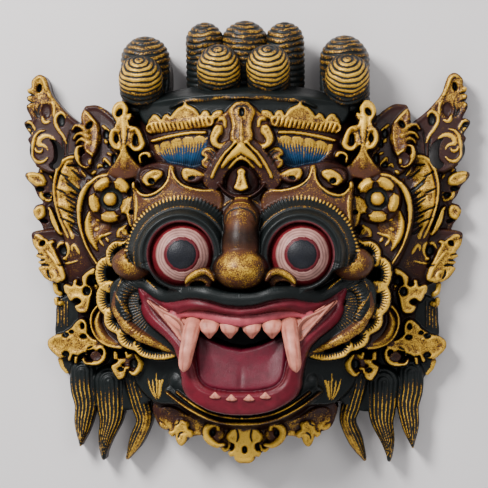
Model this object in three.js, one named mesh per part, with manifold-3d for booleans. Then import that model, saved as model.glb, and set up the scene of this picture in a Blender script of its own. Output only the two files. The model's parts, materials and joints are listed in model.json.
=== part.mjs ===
// A carved and painted wooden barong mask, made from one block of soft wood and lying on its flat back.
// Millimetres. +X is the mask's left, as a viewer sees its right, +Y is towards the crown and +Z is out
// of the face. The origin is the middle of the mask's outline, on the plane that the back rests on.
import * as THREE from "three";
import { mergeVertices } from "three/addons/utils/BufferGeometryUtils.js";
import Module from "manifold-3d";

const wasm = await Module();
wasm.setup();

// Driving sizes
const MASK_HEIGHT = 318;
const CROWN_TOP = MASK_HEIGHT / 2;
const BEARD_TIP = -MASK_HEIGHT / 2;
const WOOD = 0x4a2c18;

// The broad forms that the carver leaves before the detail. Each is a dome with its middle, half sizes and
// height.
const PLATE_HEIGHT = 14;
const HEAD = { x: 0, y: -22, rx: 98, ry: 104, height: 66, fullness: 2.6 };
const CROWN = { x: 0, y: 70, rx: 88, ry: 50, height: 56, fullness: 3 };
const CHIN = { x: 0, y: -92, rx: 64, ry: 48, height: 64, fullness: 2.4 };
const WING = { x: 98, y: 6, rx: 50, ry: 78, height: 30, fullness: 2 };
const BLEND = 7;

// The face
const EYE = { x: 43, y: -9, z: 60, radius: 25.5 };
const LID = { radius: 29, half: 4.5, shoulder: 71, crest: 79 };
const BROW = { radius: 38.5, half: 4, shoulder: 66, crest: 73 };
const NOSE = { x: 0, y: -20, z: 78, rx: 18, ry: 16.5, rz: 26 };
const NOSTRIL = { x: 28, y: -24, z: 74, rx: 10.5, ry: 8.5, rz: 13 };
const CHEEK = { x: 77, y: -16, z: 50, rx: 13, ry: 12, rz: 14 };
const MOUTH_FLOOR = 44;
const MOUTH_CUT_TOP = 130;
const COMB = { x: 62, y: -40, radius: 38.5, half: 6, lobes: 8, top: 50 };

// The hollow in the back
const HOLLOW = { y: -12, rx: 64, ry: 84, rz: 33 };

// Helpers

// A geometry as a solid, with only its positions kept and its shared vertices merged.
function solid(geometry) {
  const bare = geometry.index ? geometry.toNonIndexed() : geometry.clone();
  bare.deleteAttribute("normal");
  bare.deleteAttribute("uv");
  const merged = mergeVertices(bare, 1e-4);
  return new wasm.Manifold(
    new wasm.Mesh({
      numProp: 3,
      vertProperties: merged.attributes.position.array,
      triVerts: new Uint32Array(merged.index.array),
    }),
  );
}

function join(solids) {
  return solids.reduce((sum, next) => sum.add(next));
}

// A closed geometry from rows of points: each row is one closed section, and the two ends are capped.
function loft(rows, closed = false) {
  const size = rows[0].length;
  const positions = rows.flat().flatMap((p) => [p.x, p.y, p.z]);
  const faces = [];
  const steps = closed ? rows.length : rows.length - 1;
  for (let i = 0; i < steps; i++) {
    const here = i * size;
    const there = ((i + 1) % rows.length) * size;
    for (let j = 0; j < size; j++) {
      const next = (j + 1) % size;
      faces.push(here + j, here + next, there + next, here + j, there + next, there + j);
    }
  }
  if (!closed) {
    const last = (rows.length - 1) * size;
    for (let j = 1; j < size - 1; j++) {
      faces.push(0, j + 1, j, last, last + j, last + j + 1);
    }
  }
  const geometry = new THREE.BufferGeometry();
  geometry.setAttribute("position", new THREE.Float32BufferAttribute(positions, 3));
  geometry.setIndex(faces);
  return geometry;
}

// A carved ridge along a path on the mask: straight sides from its foot to its shoulders and a crest
// between, or a flat top where it has no crest. The path is a function of t from 0 to 1. Half width,
// shoulder and crest are numbers or functions of t.
function ridge(path, steps, half, foot, shoulder, crest = null, closed = false) {
  const at = (value, t) => (typeof value === "function" ? value(t) : value);
  const rows = [];
  const count = closed ? steps : steps + 1;
  for (let i = 0; i < count; i++) {
    const t = i / steps;
    const middle = path(t);
    const ahead = path(closed ? t + 1e-3 : Math.min(1, t + 1e-3));
    const behind = path(closed ? t - 1e-3 : Math.max(0, t - 1e-3));
    const along = new THREE.Vector2(ahead.x - behind.x, ahead.y - behind.y).normalize();
    const w = at(half, t);
    const [sx, sy] = [along.y * w, -along.x * w];
    const low = at(shoulder, t);
    rows.push([
      new THREE.Vector3(middle.x - sx, middle.y - sy, foot),
      new THREE.Vector3(middle.x + sx, middle.y + sy, foot),
      new THREE.Vector3(middle.x + sx, middle.y + sy, low),
      ...(crest === null ? [] : [new THREE.Vector3(middle.x, middle.y, at(crest, t))]),
      new THREE.Vector3(middle.x - sx, middle.y - sy, low),
    ]);
  }
  return solid(loft(rows.reverse(), closed));
}

function ball(b, around = 10, down = 6) {
  const geometry = new THREE.SphereGeometry(1, around, down);
  geometry.rotateX(Math.PI / 2).scale(b.rx, b.ry, b.rz).translate(b.x, b.y, b.z);
  return solid(geometry);
}

function plate(points, foot, top) {
  const shape = new THREE.Shape(points.map(([x, y]) => new THREE.Vector2(x, y)));
  const geometry = new THREE.ExtrudeGeometry(shape, { depth: top - foot, bevelEnabled: false });
  return solid(geometry.translate(0, 0, foot));
}

function mirrored(half) {
  return half.mirror([1, 0, 0]);
}

// Paths and widths

// A smooth path through a few points.
function curve(points, closed = false) {
  const spline = new THREE.CatmullRomCurve3(
    points.map(([x, y]) => new THREE.Vector3(x, y, 0)),
    closed,
    "centripetal",
  );
  return (t) => spline.getPoint(closed ? (t + 1) % 1 : t);
}

// A circular arc between two angles in degrees.
function arc(x, y, radius, from, to) {
  return (t) => {
    const angle = THREE.MathUtils.degToRad(from + (to - from) * t);
    return { x: x + radius * Math.cos(angle), y: y + radius * Math.sin(angle) };
  };
}

// A spiral from an outer to an inner radius, between two angles in degrees.
function spiral(x, y, outer, inner, from, to) {
  return (t) => {
    const angle = THREE.MathUtils.degToRad(from + (to - from) * t);
    const radius = outer + (inner - outer) * t;
    return { x: x + radius * Math.cos(angle), y: y + radius * Math.sin(angle) };
  };
}

// The half width of a crescent: nothing at its ends and widest in its middle.
function crescent(half) {
  return (t) => 0.4 + half * Math.sin(Math.PI * t);
}

// The half width of a leaf: pointed at its tip, with lobes down both sides.
function lobed(half, lobes, root = 0.55) {
  return (t) => {
    const body = half * (root + (1 - root) * Math.sin(Math.PI * Math.min(1, 1.25 * t)));
    const taper = Math.sqrt(Math.max(0, 1 - t ** 3));
    const notch = 1 - 0.26 * Math.abs(Math.cos(Math.PI * lobes * t));
    return 0.5 + body * taper * notch;
  };
}

function slope(from, to) {
  return (t) => from + (to - from) * t;
}

// A flame-shaped leaf, lower at its tip than at its root.
function leaf(points, half, lobes, from, to, root) {
  return ridge(curve(points), Math.max(3, 2 * lobes), lobed(half, lobes, root), 0, slope(from + 2, to + 1));
}

// A scroll that curls in on itself.
function volute(x, y, radius, from, turns, top) {
  const path = spiral(x, y, radius, radius * 0.25, from, from + 360 * turns);
  return ridge(path, 5, slope(radius * 0.3, radius * 0.24), top - 14, top);
}

// The broad form

function dome(form, x, y) {
  const across = Math.hypot((Math.abs(x) - form.x) / form.rx, (y - form.y) / form.ry);
  return across >= 1 ? 0 : form.height * Math.pow(1 - Math.pow(across, form.fullness), 1 / 2);
}

function softMax(a, b) {
  const share = THREE.MathUtils.clamp(0.5 + (0.5 * (a - b)) / BLEND, 0, 1);
  return b + (a - b) * share + BLEND * share * (1 - share);
}

function broadForm(x, y) {
  return [HEAD, CROWN, CHIN, WING].map((form) => dome(form, x, y)).reduce(softMax, PLATE_HEIGHT);
}

// The right half of the block's outline inside the leaf tips, from the crown round to the beard.
const BLOCK_OUTLINE = [
  [0, 112], [40, 111], [70, 103], [95, 84], [118, 74], [133, 58], [140, 38], [138, 14],
  [132, -6], [133, -28], [122, -50], [124, -72], [116, -90], [88, -98], [68, -112], [46, -126],
  [20, -138], [0, -142],
];

function block() {
  const half = new THREE.CatmullRomCurve3(BLOCK_OUTLINE.map(([x, y]) => new THREE.Vector3(x, y, 0)));
  const right = half.getPoints(15);
  const left = right.slice(1, -1).reverse().map((p) => new THREE.Vector3(-p.x, p.y, 0));
  const rim = [...right, ...left];
  const rings = [1, 0.84, 0.68, 0.5, 0.28];
  const middleY = -15;
  const rows = rings.map((share) =>
    rim.map((p) => {
      const [x, y] = [p.x * share, middleY + (p.y - middleY) * share];
      return new THREE.Vector3(x, y, broadForm(x, y));
    }),
  );
  const foot = rim.map((p) => new THREE.Vector3(p.x, p.y, 0));
  return solid(loft([foot, ...rows].map((row) => row.reverse())));
}

// The right half's carving

function wing() {
  const hook = curve([[134, 84], [148, 82], [156.5, 72], [155, 60], [147, 58.5], [146, 66], [152, 69]]);
  return join([
    // the tall outer flame, its hooked scroll, and the leaves along the rim
    leaf([[123, 58], [135, 92], [151, 118]], 12, 3, 18, 13),
    ridge(hook, 10, slope(6, 2.6), 0, 15),
    leaf([[134, 42], [147, 46], [158, 52]], 7, 1, 16, 12),
    leaf([[134, 32], [147, 33], [160, 37]], 6.5, 1, 16, 12),
    leaf([[134, 19], [146, 19], [158, 19]], 7.5, 2, 16, 12),
    // the ribbed fan, and the crescent round the flower
    ridge(curve([[120, 63], [130, 44], [129, 20], [130, -2]]), 6, crescent(11), 0, 24, 30),
    ridge(curve([[92, 47], [111, 38], [119, 14], [106, -16]]), 6, crescent(5), 0, 40),
    // the leaf at mid height, and the smaller one under it
    leaf([[104, -22], [132, -14], [157, 1]], 13.5, 3, 26, 14),
    leaf([[118, -20], [133, -24], [144, -34]], 8, 2, 24, 14),
    leaf([[112, -24], [120, -35], [124, -50]], 10, 2, 30, 22),
    // the leaf beside the jaw, with its scrolls, and the small one below
    leaf([[98, -70], [122, -72], [147, -74]], 13, 3, 26, 15),
    volute(117, -58, 7, -60, 1.1, 27),
    volute(108, -83, 7, 60, -1.1, 27),
    leaf([[78, -76], [82, -88], [88, -102]], 10, 2, 36, 26),
    // the leaves above the flower
    leaf([[112, 50], [108, 76], [114, 96]], 13, 3, 34, 22),
    ridge(curve([[90, 70], [101, 88], [107, 99]]), 4, lobed(9, 1), 0, slope(22, 18)),
    leaf([[81, 44], [83, 66], [89, 98]], 10.5, 3, 52, 40),
    volute(75.5, 70, 6.5, -30, 1.1, 52),
    volute(91, 68, 6.5, 210, -1.1, 50),
  ]);
}

function flower() {
  const middle = { x: 94.5, y: 27.5 };
  const petals = [90, 162, 234, 306, 18].map((degrees) => {
    const petal = arc(middle.x, middle.y, 11.5, degrees - 24, degrees + 24);
    return ridge(petal, 2, 4, 20, 47);
  });
  return join([...petals, ball({ ...middle, z: 32, rx: 5, ry: 5, rz: 18 }, 6, 4)]);
}

function hair() {
  return join([
    ridge(curve([[118, -70], [127, -108], [126, -128], [122, -147]]), 5, lock(10.5), 0, 14, 19),
    ridge(curve([[100, -78], [91, -116], [97, -134], [107, -157]]), 5, lock(11), 0, 15, 21),
    ridge(curve([[78, -84], [71, -114], [76, -133], [87, -155.5]]), 5, lock(10.5), 0, 16, 22),
    ridge(curve([[62, -86], [59, -100], [64, -114]]), 3, lock(8), 0, 40),
    ridge(curve([[128, -48], [137, -58], [139, -72]]), 2, 7, 0, 14),
  ]);
}

// The half width of a lock of hair, full at the root and pointed at the tip.
function lock(half) {
  return (t) => 1 + (half - 1) * Math.pow(1 - t ** 2.2, 0.8);
}

function jaw() {
  const notch = (t) => 0.25 * Math.abs(Math.cos(Math.PI * COMB.lobes * t));
  const combWidth = (t) => COMB.half * (1 - notch(t) - 0.4 * t ** 4);
  return join([
    ridge(arc(COMB.x, COMB.y, COMB.radius, 62, -112), 2 * COMB.lobes, combWidth, 20, COMB.top),
    ridge(arc(COMB.x, COMB.y, 50, 0, -84), 5, crescent(6), 0, 38),
    ridge(curve([[93, -34], [86, -56], [58, -70]]), 5, crescent(8), 30, 54, 62),
    ball(CHEEK, 8, 4),
  ]);
}

function eye() {
  const rim = arc(EYE.x, EYE.y, BROW.radius, 0, 360);
  const socket = Array.from({ length: 12 }, (_, i) => rim(i / 12)).map(({ x, y }) => [x, y]);
  return join([
    plate(socket, 20, LID.shoulder - 8),
    ball({ ...EYE, rx: EYE.radius, ry: EYE.radius, rz: EYE.radius }, 12, 6),
    ridge(arc(EYE.x, EYE.y, LID.radius, 0, 360), 12, LID.half, 30, LID.shoulder, LID.crest, true),
    ridge(arc(EYE.x, EYE.y, BROW.radius, 205, -25), 8, BROW.half, 30, BROW.shoulder, BROW.crest),
    ridge(curve([[26, 43], [40, 37], [50, 46], [60, 37], [78, 43], [84, 22]]), 7, 4, 30, 64),
    ball({ x: 36, y: 47, z: 56, rx: 8.5, ry: 4.8, rz: 11 }, 6, 4),
    ball({ x: 63, y: 45, z: 52, rx: 8.5, ry: 4.8, rz: 10 }, 6, 4),
  ]);
}

function crownHalf() {
  const arch = (height, fall) => (t) => ({ x: 70 * t, y: height - fall * t * t });
  const scallops = (t) => 3.5 + 5 * Math.exp(-(((70 * t - 43) / 12) ** 2));
  return join([
    ridge(arch(92, 6), 7, scallops, 20, slope(57, 41)),
    ridge(arch(84, 5), 4, 4, 20, slope(60, 44)),
    ridge(arch(76, 5), 4, 1.8, 20, slope(62, 48)),
    plate([[26, 52], [60, 50], [66, 69], [26, 73]], 20, 56),
  ]);
}

// The pieces on the middle line

function crownLeaf() {
  const notch = (t) => 0.25 * Math.abs(Math.cos(9 * t));
  const waist = (t) => 3 + 9 * Math.sin(Math.PI * Math.min(1, 1.1 * t)) * (1 - notch(t));
  const scroll = volute(15.5, 74, 6.5, 210, -1.1, 70);
  const arm = ridge(curve([[0, 71], [10, 62], [22, 49]]), 4, 3, 30, slope(70, 62), slope(73, 65));
  const sideLeaf = leaf([[18, 50], [24, 56], [28, 64]], 7, 2, 62, 58);
  return join([
    ridge(curve([[0, 58], [0, 78], [0, 99]]), 7, waist, 30, slope(74, 62)),
    scroll,
    mirrored(scroll),
    arm,
    mirrored(arm),
    sideLeaf,
    mirrored(sideLeaf),
    ball({ x: 0, y: 41, z: 62, rx: 8, ry: 13, rz: 17 }, 8, 4),
  ]);
}

function nose() {
  const wingOfNose = ball(NOSTRIL, 8, 4);
  return join([
    ball(NOSE, 10, 6),
    wingOfNose,
    mirrored(wingOfNose),
    ridge(curve([[0, 34], [0, 16], [0, -14]]), 4, slope(12, 13), 30, slope(68, 80), slope(78, 92)),
  ]);
}

function lips() {
  const upper = curve([[-70, -37], [-47, -45], [-24, -44], [0, -48], [24, -44], [47, -45], [70, -37]]);
  const whiskers = curve([
    [-88, -30], [-70, -28], [-47, -37], [-24, -37], [0, -41], [24, -37], [47, -37], [70, -28], [88, -30],
  ]);
  const lower = curve([
    [-70, -38], [-62, -58], [-46, -74], [-41, -92], [-34, -110], [-14, -119],
    [14, -119], [34, -110], [41, -92], [46, -74], [62, -58], [70, -38],
  ]);
  const chin = curve([[-54, -110], [-30, -126], [0, -132], [30, -126], [54, -110]]);
  const middleHigh = (low, high) => (t) => low + (high - low) * Math.sin(Math.PI * t);
  return join([
    ridge(upper, 8, 5, 30, middleHigh(58, 82), middleHigh(60, 84)),
    ridge(whiskers, 8, 4.5, 30, middleHigh(52, 86), middleHigh(56, 90)),
    ridge(lower, 12, 5, 30, middleHigh(58, 76), middleHigh(61, 80)),
    ridge(chin, 6, 3, 0, middleHigh(40, 58), middleHigh(43, 61)),
  ]);
}

const MOUTH_OPENING = [
  [-68, -39], [-46, -48], [-24, -48], [0, -52], [24, -48], [46, -48], [68, -39], [60, -56], [43, -73],
  [37, -92], [30, -108], [12, -115], [-12, -115], [-30, -108], [-37, -92], [-43, -73], [-60, -56],
];

function teeth() {
  const tooth = (x, y, rx, ry, around) => ball({ x, y, z: 72, rx, ry, rz: 9 }, around, 4);
  const foot = MOUTH_FLOOR - 2;
  const fangPath = curve([[33, -54], [36, -72], [40, -94]]);
  const fang = ridge(fangPath, 5, (t) => 5 - 2 * t * t, foot, slope(76, 84), slope(80, 88));
  const tuskPath = curve([[38, -68], [48, -58], [63, -43]]);
  const tusk = ridge(tuskPath, 4, slope(6.5, 0.6), foot, slope(70, 60), slope(76, 62));
  return join([
    ridge(curve([[-46, -49], [-24, -53], [0, -55.5], [24, -53], [46, -49]]), 6, 4.6, foot, 72, 76),
    fang,
    mirrored(fang),
    tusk,
    mirrored(tusk),
    ...[-22.5, -8.5, 8.5, 22.5].map((x) => tooth(x, -61, 6.6, 7, 6)),
    ...[-18, -6, 6, 18].map((x) => tooth(x, -113, 4.5, 3.4, 4)),
  ]);
}

function tongue() {
  const path = curve([[0, -72], [0, -88], [0, -108]]);
  return ridge(path, 4, (t) => 31 - 6 * t ** 4, MOUTH_FLOOR - 2, slope(54, 70), slope(50, 66));
}

function beard() {
  const scroll = volute(22, -135, 7.5, 140, 1.1, 26);
  const sideLeaf = leaf([[50, -112], [48, -128], [47, -143]], 12, 2, 30, 20);
  return join([
    leaf([[0, -122], [0, -142], [0, BEARD_TIP]], 17, 3, 34, 18),
    scroll,
    mirrored(scroll),
    sideLeaf,
    mirrored(sideLeaf),
  ]);
}

// A bun of coiled hair, with grooves between its rings where it has any. It leans from the crown towards
// the viewer.
function bun(x, y, z, radius, length, lean, rings, around = 8) {
  const profile = [new THREE.Vector2(0, -length)];
  const steps = Math.max(4, 2 * rings);
  for (let i = 0; i <= steps; i++) {
    const groove = i % 2 || !rings ? 0 : 1.1;
    const rise = -length + (length + radius) * (i / steps) * 0.97;
    const girth = rise < 0 ? 1 : Math.sqrt(Math.max(0, 1 - (rise / radius) ** 2));
    profile.push(new THREE.Vector2(Math.max(0.6, radius * girth - groove), rise));
  }
  profile.push(new THREE.Vector2(0, radius));
  const geometry = new THREE.LatheGeometry(profile, around);
  geometry.rotateX(THREE.MathUtils.degToRad(lean)).translate(x, y, z);
  return solid(geometry);
}

function buns() {
  const side = [bun(73.5, 131, 27, 17.5, 34, 14, 0), bun(75, 117, 42, 14.5, 14, 42, 3)];
  const middle = [bun(33, 142.5, 26, 12.5, 40, 14, 0), bun(19.3, 123, 46, 14.8, 18, 40, 3)];
  const top = { radius: 16, lean: 12 };
  const reach = top.radius * Math.cos(THREE.MathUtils.degToRad(top.lean));
  return join([
    ...[...side, ...middle].flatMap((one) => [one, mirrored(one)]),
    bun(0, CROWN_TOP - reach, 25, top.radius, 40, top.lean, 0),
    plate([[-40, 104], [40, 104], [38, 130], [-38, 130]], 4, 36),
  ]);
}

function hollow() {
  return ball({ x: 0, y: HOLLOW.y, z: 0, rx: HOLLOW.rx, ry: HOLLOW.ry, rz: HOLLOW.rz }, 14, 6);
}

// The whole mask
function mask() {
  const rightHalf = join([wing(), flower(), hair(), jaw(), eye(), crownHalf()]);
  return join([block(), rightHalf, mirrored(rightHalf), crownLeaf(), nose(), lips()])
    .subtract(plate(MOUTH_OPENING, MOUTH_FLOOR, MOUTH_CUT_TOP))
    .add(join([tongue(), teeth(), beard(), buns()]))
    .subtract(hollow());
}

function meshOf(name, made, colour) {
  const { vertProperties, triVerts, numProp } = made.getMesh();
  const positions = new Float32Array((vertProperties.length / numProp) * 3);
  for (let i = 0; i * 3 < positions.length; i++) {
    positions.set(vertProperties.subarray(i * numProp, i * numProp + 3), i * 3);
  }
  const geometry = new THREE.BufferGeometry();
  geometry.setAttribute("position", new THREE.BufferAttribute(positions, 3));
  geometry.setIndex(new THREE.BufferAttribute(triVerts, 1));
  geometry.computeVertexNormals();
  const material = new THREE.MeshStandardMaterial({ color: colour, roughness: 0.45, metalness: 0.2 });
  const mesh = new THREE.Mesh(geometry, material);
  mesh.name = name;
  return mesh;
}

const model = new THREE.Group();
model.add(meshOf("mask", mask(), WOOD));

export default model;
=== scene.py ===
"""A carved and painted wooden barong mask, lying face up.

The mask is one block of soft wood. Its relief is worked on a board, a fine grid of heights over the right half
of the mask that is mirrored to the left, in the way a carver works it: the broad forms first, then each leaf,
curl, ridge and groove. What bulges or leans over is modelled as its own form: eyes, teeth and hair buns.
Sizes on the board are millimetres in the frame's own axes. The pieces are made in metres.
"""

import json
import logging
import math
from dataclasses import dataclass, field
from enum import Enum
from typing import Callable, Sequence, Union

import bpy
import numpy as np
from mathutils import Euler, Matrix, Vector

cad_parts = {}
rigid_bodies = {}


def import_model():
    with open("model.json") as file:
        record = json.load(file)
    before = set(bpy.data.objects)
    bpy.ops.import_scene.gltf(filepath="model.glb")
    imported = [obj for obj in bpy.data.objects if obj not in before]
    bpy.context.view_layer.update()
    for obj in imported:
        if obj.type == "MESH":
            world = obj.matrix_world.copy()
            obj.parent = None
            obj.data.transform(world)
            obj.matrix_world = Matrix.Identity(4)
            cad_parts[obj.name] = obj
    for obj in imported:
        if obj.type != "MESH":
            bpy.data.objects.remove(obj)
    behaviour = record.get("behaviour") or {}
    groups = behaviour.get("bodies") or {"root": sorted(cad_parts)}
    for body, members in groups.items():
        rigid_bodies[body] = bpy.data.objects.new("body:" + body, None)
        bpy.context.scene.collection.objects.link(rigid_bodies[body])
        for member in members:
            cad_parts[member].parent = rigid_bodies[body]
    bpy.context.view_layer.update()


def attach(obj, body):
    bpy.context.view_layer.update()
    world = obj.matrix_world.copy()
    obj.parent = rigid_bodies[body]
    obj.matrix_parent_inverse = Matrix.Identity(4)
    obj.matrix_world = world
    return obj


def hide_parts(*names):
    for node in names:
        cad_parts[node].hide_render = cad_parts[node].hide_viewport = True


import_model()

log = logging.getLogger("mask")

MM = 0.001
STEP = 0.5
HALF_WIDTH = 163.0
HALF_HEIGHT = 160.0
PLATE_HEIGHT = 14.0
MOUTH_FLOOR = 44.0
TINY = 1e-9
MICRON = 1e-6
SIDES = ((1, "right"), (-1, "left"))
NODE = "mask"

Array = np.ndarray
Point = Sequence[float]
Path = Union[Array, Sequence[Point]]
Along = Union[float, Callable[[Array], Array]]
Over = Callable[[Array, Array], Array]


class Tint(Enum):
    """The paints that lie under the gilding, as linear colours."""

    BLACK = (0.007, 0.010, 0.010)
    MAROON = (0.034, 0.009, 0.007)
    BROWN = (0.150, 0.056, 0.020)
    UMBER = (0.085, 0.028, 0.013)
    RED = (0.180, 0.014, 0.020)
    CRIMSON = (0.120, 0.009, 0.015)
    GUM = (0.480, 0.085, 0.110)
    LIP = (0.150, 0.009, 0.020)
    TONGUE = (0.125, 0.004, 0.018)
    BLUE = (0.016, 0.080, 0.190)
    TOOTH = (0.760, 0.285, 0.205)
    EYE_WHITE = (0.560, 0.290, 0.250)
    PUPIL = (0.012, 0.013, 0.018)
    BACK = (0.030, 0.020, 0.014)


class Mode(Enum):
    """How a form meets what is already on the board."""

    RAISE = "raise"
    OVER = "over"


@dataclass(frozen=True)
class Coat:
    """A paint with the share of it that gilding covers."""

    tint: Tint
    gilt: float = 0.0


GOLD = Coat(Tint.MAROON, 1.0)
BLACK = Coat(Tint.BLACK)
MAROON = Coat(Tint.MAROON, 0.12)
UMBER = Coat(Tint.UMBER, 0.45)
BARE_MAROON = Coat(Tint.MAROON)
BARE_UMBER = Coat(Tint.UMBER)


def at(value: Along, t: Array) -> Array:
    """Returns a width or height at t, whether it is a number or a function of t."""
    return value(t) if callable(value) else np.full_like(t, value)


def slope(start: float, end: float) -> Callable[[Array], Array]:
    """Returns a function that goes straight from start to end."""
    return lambda t: start + (end - start) * t


def hump(low: float, high: float) -> Callable[[Array], Array]:
    """Returns a function that is low at both ends and high in the middle."""
    return lambda t: low + (high - low) * np.sin(np.pi * np.clip(t, 0, 1))


def smooth(low: float, high: float, value: Array) -> Array:
    """Returns a smooth step from 0 at low to 1 at high."""
    t = np.clip((value - low) / (high - low), 0, 1)
    return t * t * (3 - 2 * t)


def scallop(phase: Array) -> Array:
    """Returns rounded bumps with sharp notches between them, one for each whole phase."""
    return np.sqrt(np.clip(1 - (2 * (phase % 1) - 1) ** 2, 0, 1))


def bell(value: Array, middle: float, width: float) -> Array:
    """Returns a soft ridge that is 1 at its middle."""
    return np.exp(-(((value - middle) / width) ** 2))


def blended(a: Array, b: Array, width: float) -> Array:
    """Returns the higher of two heights, with a soft valley of a given width where they meet."""
    share = np.clip(0.5 + 0.5 * (a - b) / width, 0, 1)
    return b + (a - b) * share + width * share * (1 - share)


def fade(low: float, start: float, end: float, across: bool = False) -> Over:
    """Returns a shade that goes from low at start to 1 at end, up the mask or across it."""
    return lambda x, y: low + (1 - low) * smooth(start, end, x if across else y)


def tilted(height: float, rise: float, start: float, across: bool = False) -> Over:
    """Returns a height that changes steadily from the one at start, up the mask or across it."""
    return lambda x, y: height + rise * ((x if across else y) - start)


def domed(height: float, fall: float, middle: float) -> Over:
    """Returns a height that falls on both sides of its middle, across the mask."""
    return lambda x, y: height - fall * (x - middle) ** 2


def curve(points: Sequence[Point], per: int = 10) -> Array:
    """A smooth path through a few points.

    Args:
        points: The points that the path goes through.
        per: Samples between two points.

    Returns:
        The path as an array of points.
    """
    p = np.array(points, float)
    p = np.vstack([2 * p[0] - p[1], p, 2 * p[-1] - p[-2]])
    u = np.linspace(0, 1, per, endpoint=False)[:, None]
    rows = []
    for a, b, c, d in zip(p, p[1:], p[2:], p[3:]):
        rows.append(0.5 * (2 * b + (c - a) * u + (2 * a - 5 * b + 4 * c - d) * u**2 + (3 * b - a - 3 * c + d)
            * u**3))
    return np.vstack([*rows, p[-2]])


def ring(points: Sequence[Point], per: int = 4) -> Array:
    """Returns a smooth closed outline through a few points."""
    return curve([points[-1], *points, points[0], points[1]], per)[per:-per - 1]


def inside_of(outline: Array, x: Array, y: Array) -> Array:
    """How far points lie inside a closed outline.

    Args:
        outline: The outline's points.
        x: The points' x.
        y: The points' y.

    Returns:
        The distance from the outline, negative outside it.
    """
    closed = np.vstack([outline, outline[:1]])
    inside = np.zeros(x.shape, bool)
    for (ax, ay), (bx, by) in zip(closed, closed[1:]):
        if abs(ay - by) > TINY:
            inside ^= ((ay > y) != (by > y)) & (x < (bx - ax) * (y - ay) / (by - ay) + ax)
    _, distance = along(closed, x, y)
    return np.where(inside, 1, -1) * np.abs(distance)


def arc(x: float, y: float, radius: float, start: float, end: float) -> Array:
    """An arc around a middle.

    Args:
        x: The middle's x.
        y: The middle's y.
        radius: Its radius.
        start: The angle where it starts, in degrees.
        end: The angle where it ends.

    Returns:
        The arc as an array of points.
    """
    count = max(8, int(abs(end - start) / 9))
    angle = np.radians(np.linspace(start, end, count))
    return np.stack([x + radius * np.cos(angle), y + radius * np.sin(angle)], 1)


def along(path: Array, x: Array, y: Array) -> tuple[Array, Array]:
    """Where points lie beside a path.

    Args:
        path: The path's points.
        x: The points' x.
        y: The points' y.

    Returns:
        The share of the path's length at the nearest point, and the distance from it, positive on the left.
    """
    legs = np.diff(path, axis=0)
    lengths = np.hypot(legs[:, 0], legs[:, 1])
    walked = np.concatenate([[0], np.cumsum(lengths)])
    best, t, side = np.full(x.shape, np.inf), np.zeros(x.shape), np.ones(x.shape)
    for (ax, ay), (dx, dy), length, before in zip(path, legs, lengths, walked):
        if length < TINY:
            continue
        u = np.clip(((x - ax) * dx + (y - ay) * dy) / length**2, 0, 1)
        ex, ey = x - ax - u * dx, y - ay - u * dy
        gap = ex * ex + ey * ey
        near = gap < best
        best[near] = gap[near]
        t[near] = ((before + u * length) / walked[-1])[near]
        side[near] = np.where(dx * ey - dy * ex >= 0, 1.0, -1.0)[near]
    return t, np.sqrt(best) * side


def blurred(values: Array, sigma: float) -> Array:
    """A softened grid.

    Args:
        values: The grid.
        sigma: Over how many millimetres it is softened.

    Returns:
        The softened grid, of the same size.
    """
    reach = int(math.ceil(3 * sigma / STEP))
    weights = np.exp(-0.5 * (np.arange(-reach, reach + 1) * STEP / sigma) ** 2)
    weights /= weights.sum()
    padded = np.pad(values, reach, mode="edge")
    rows = sum(w * padded[k : k + values.shape[0]] for k, w in enumerate(weights))
    return sum(w * rows[:, k : k + values.shape[1]] for k, w in enumerate(weights))


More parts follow.
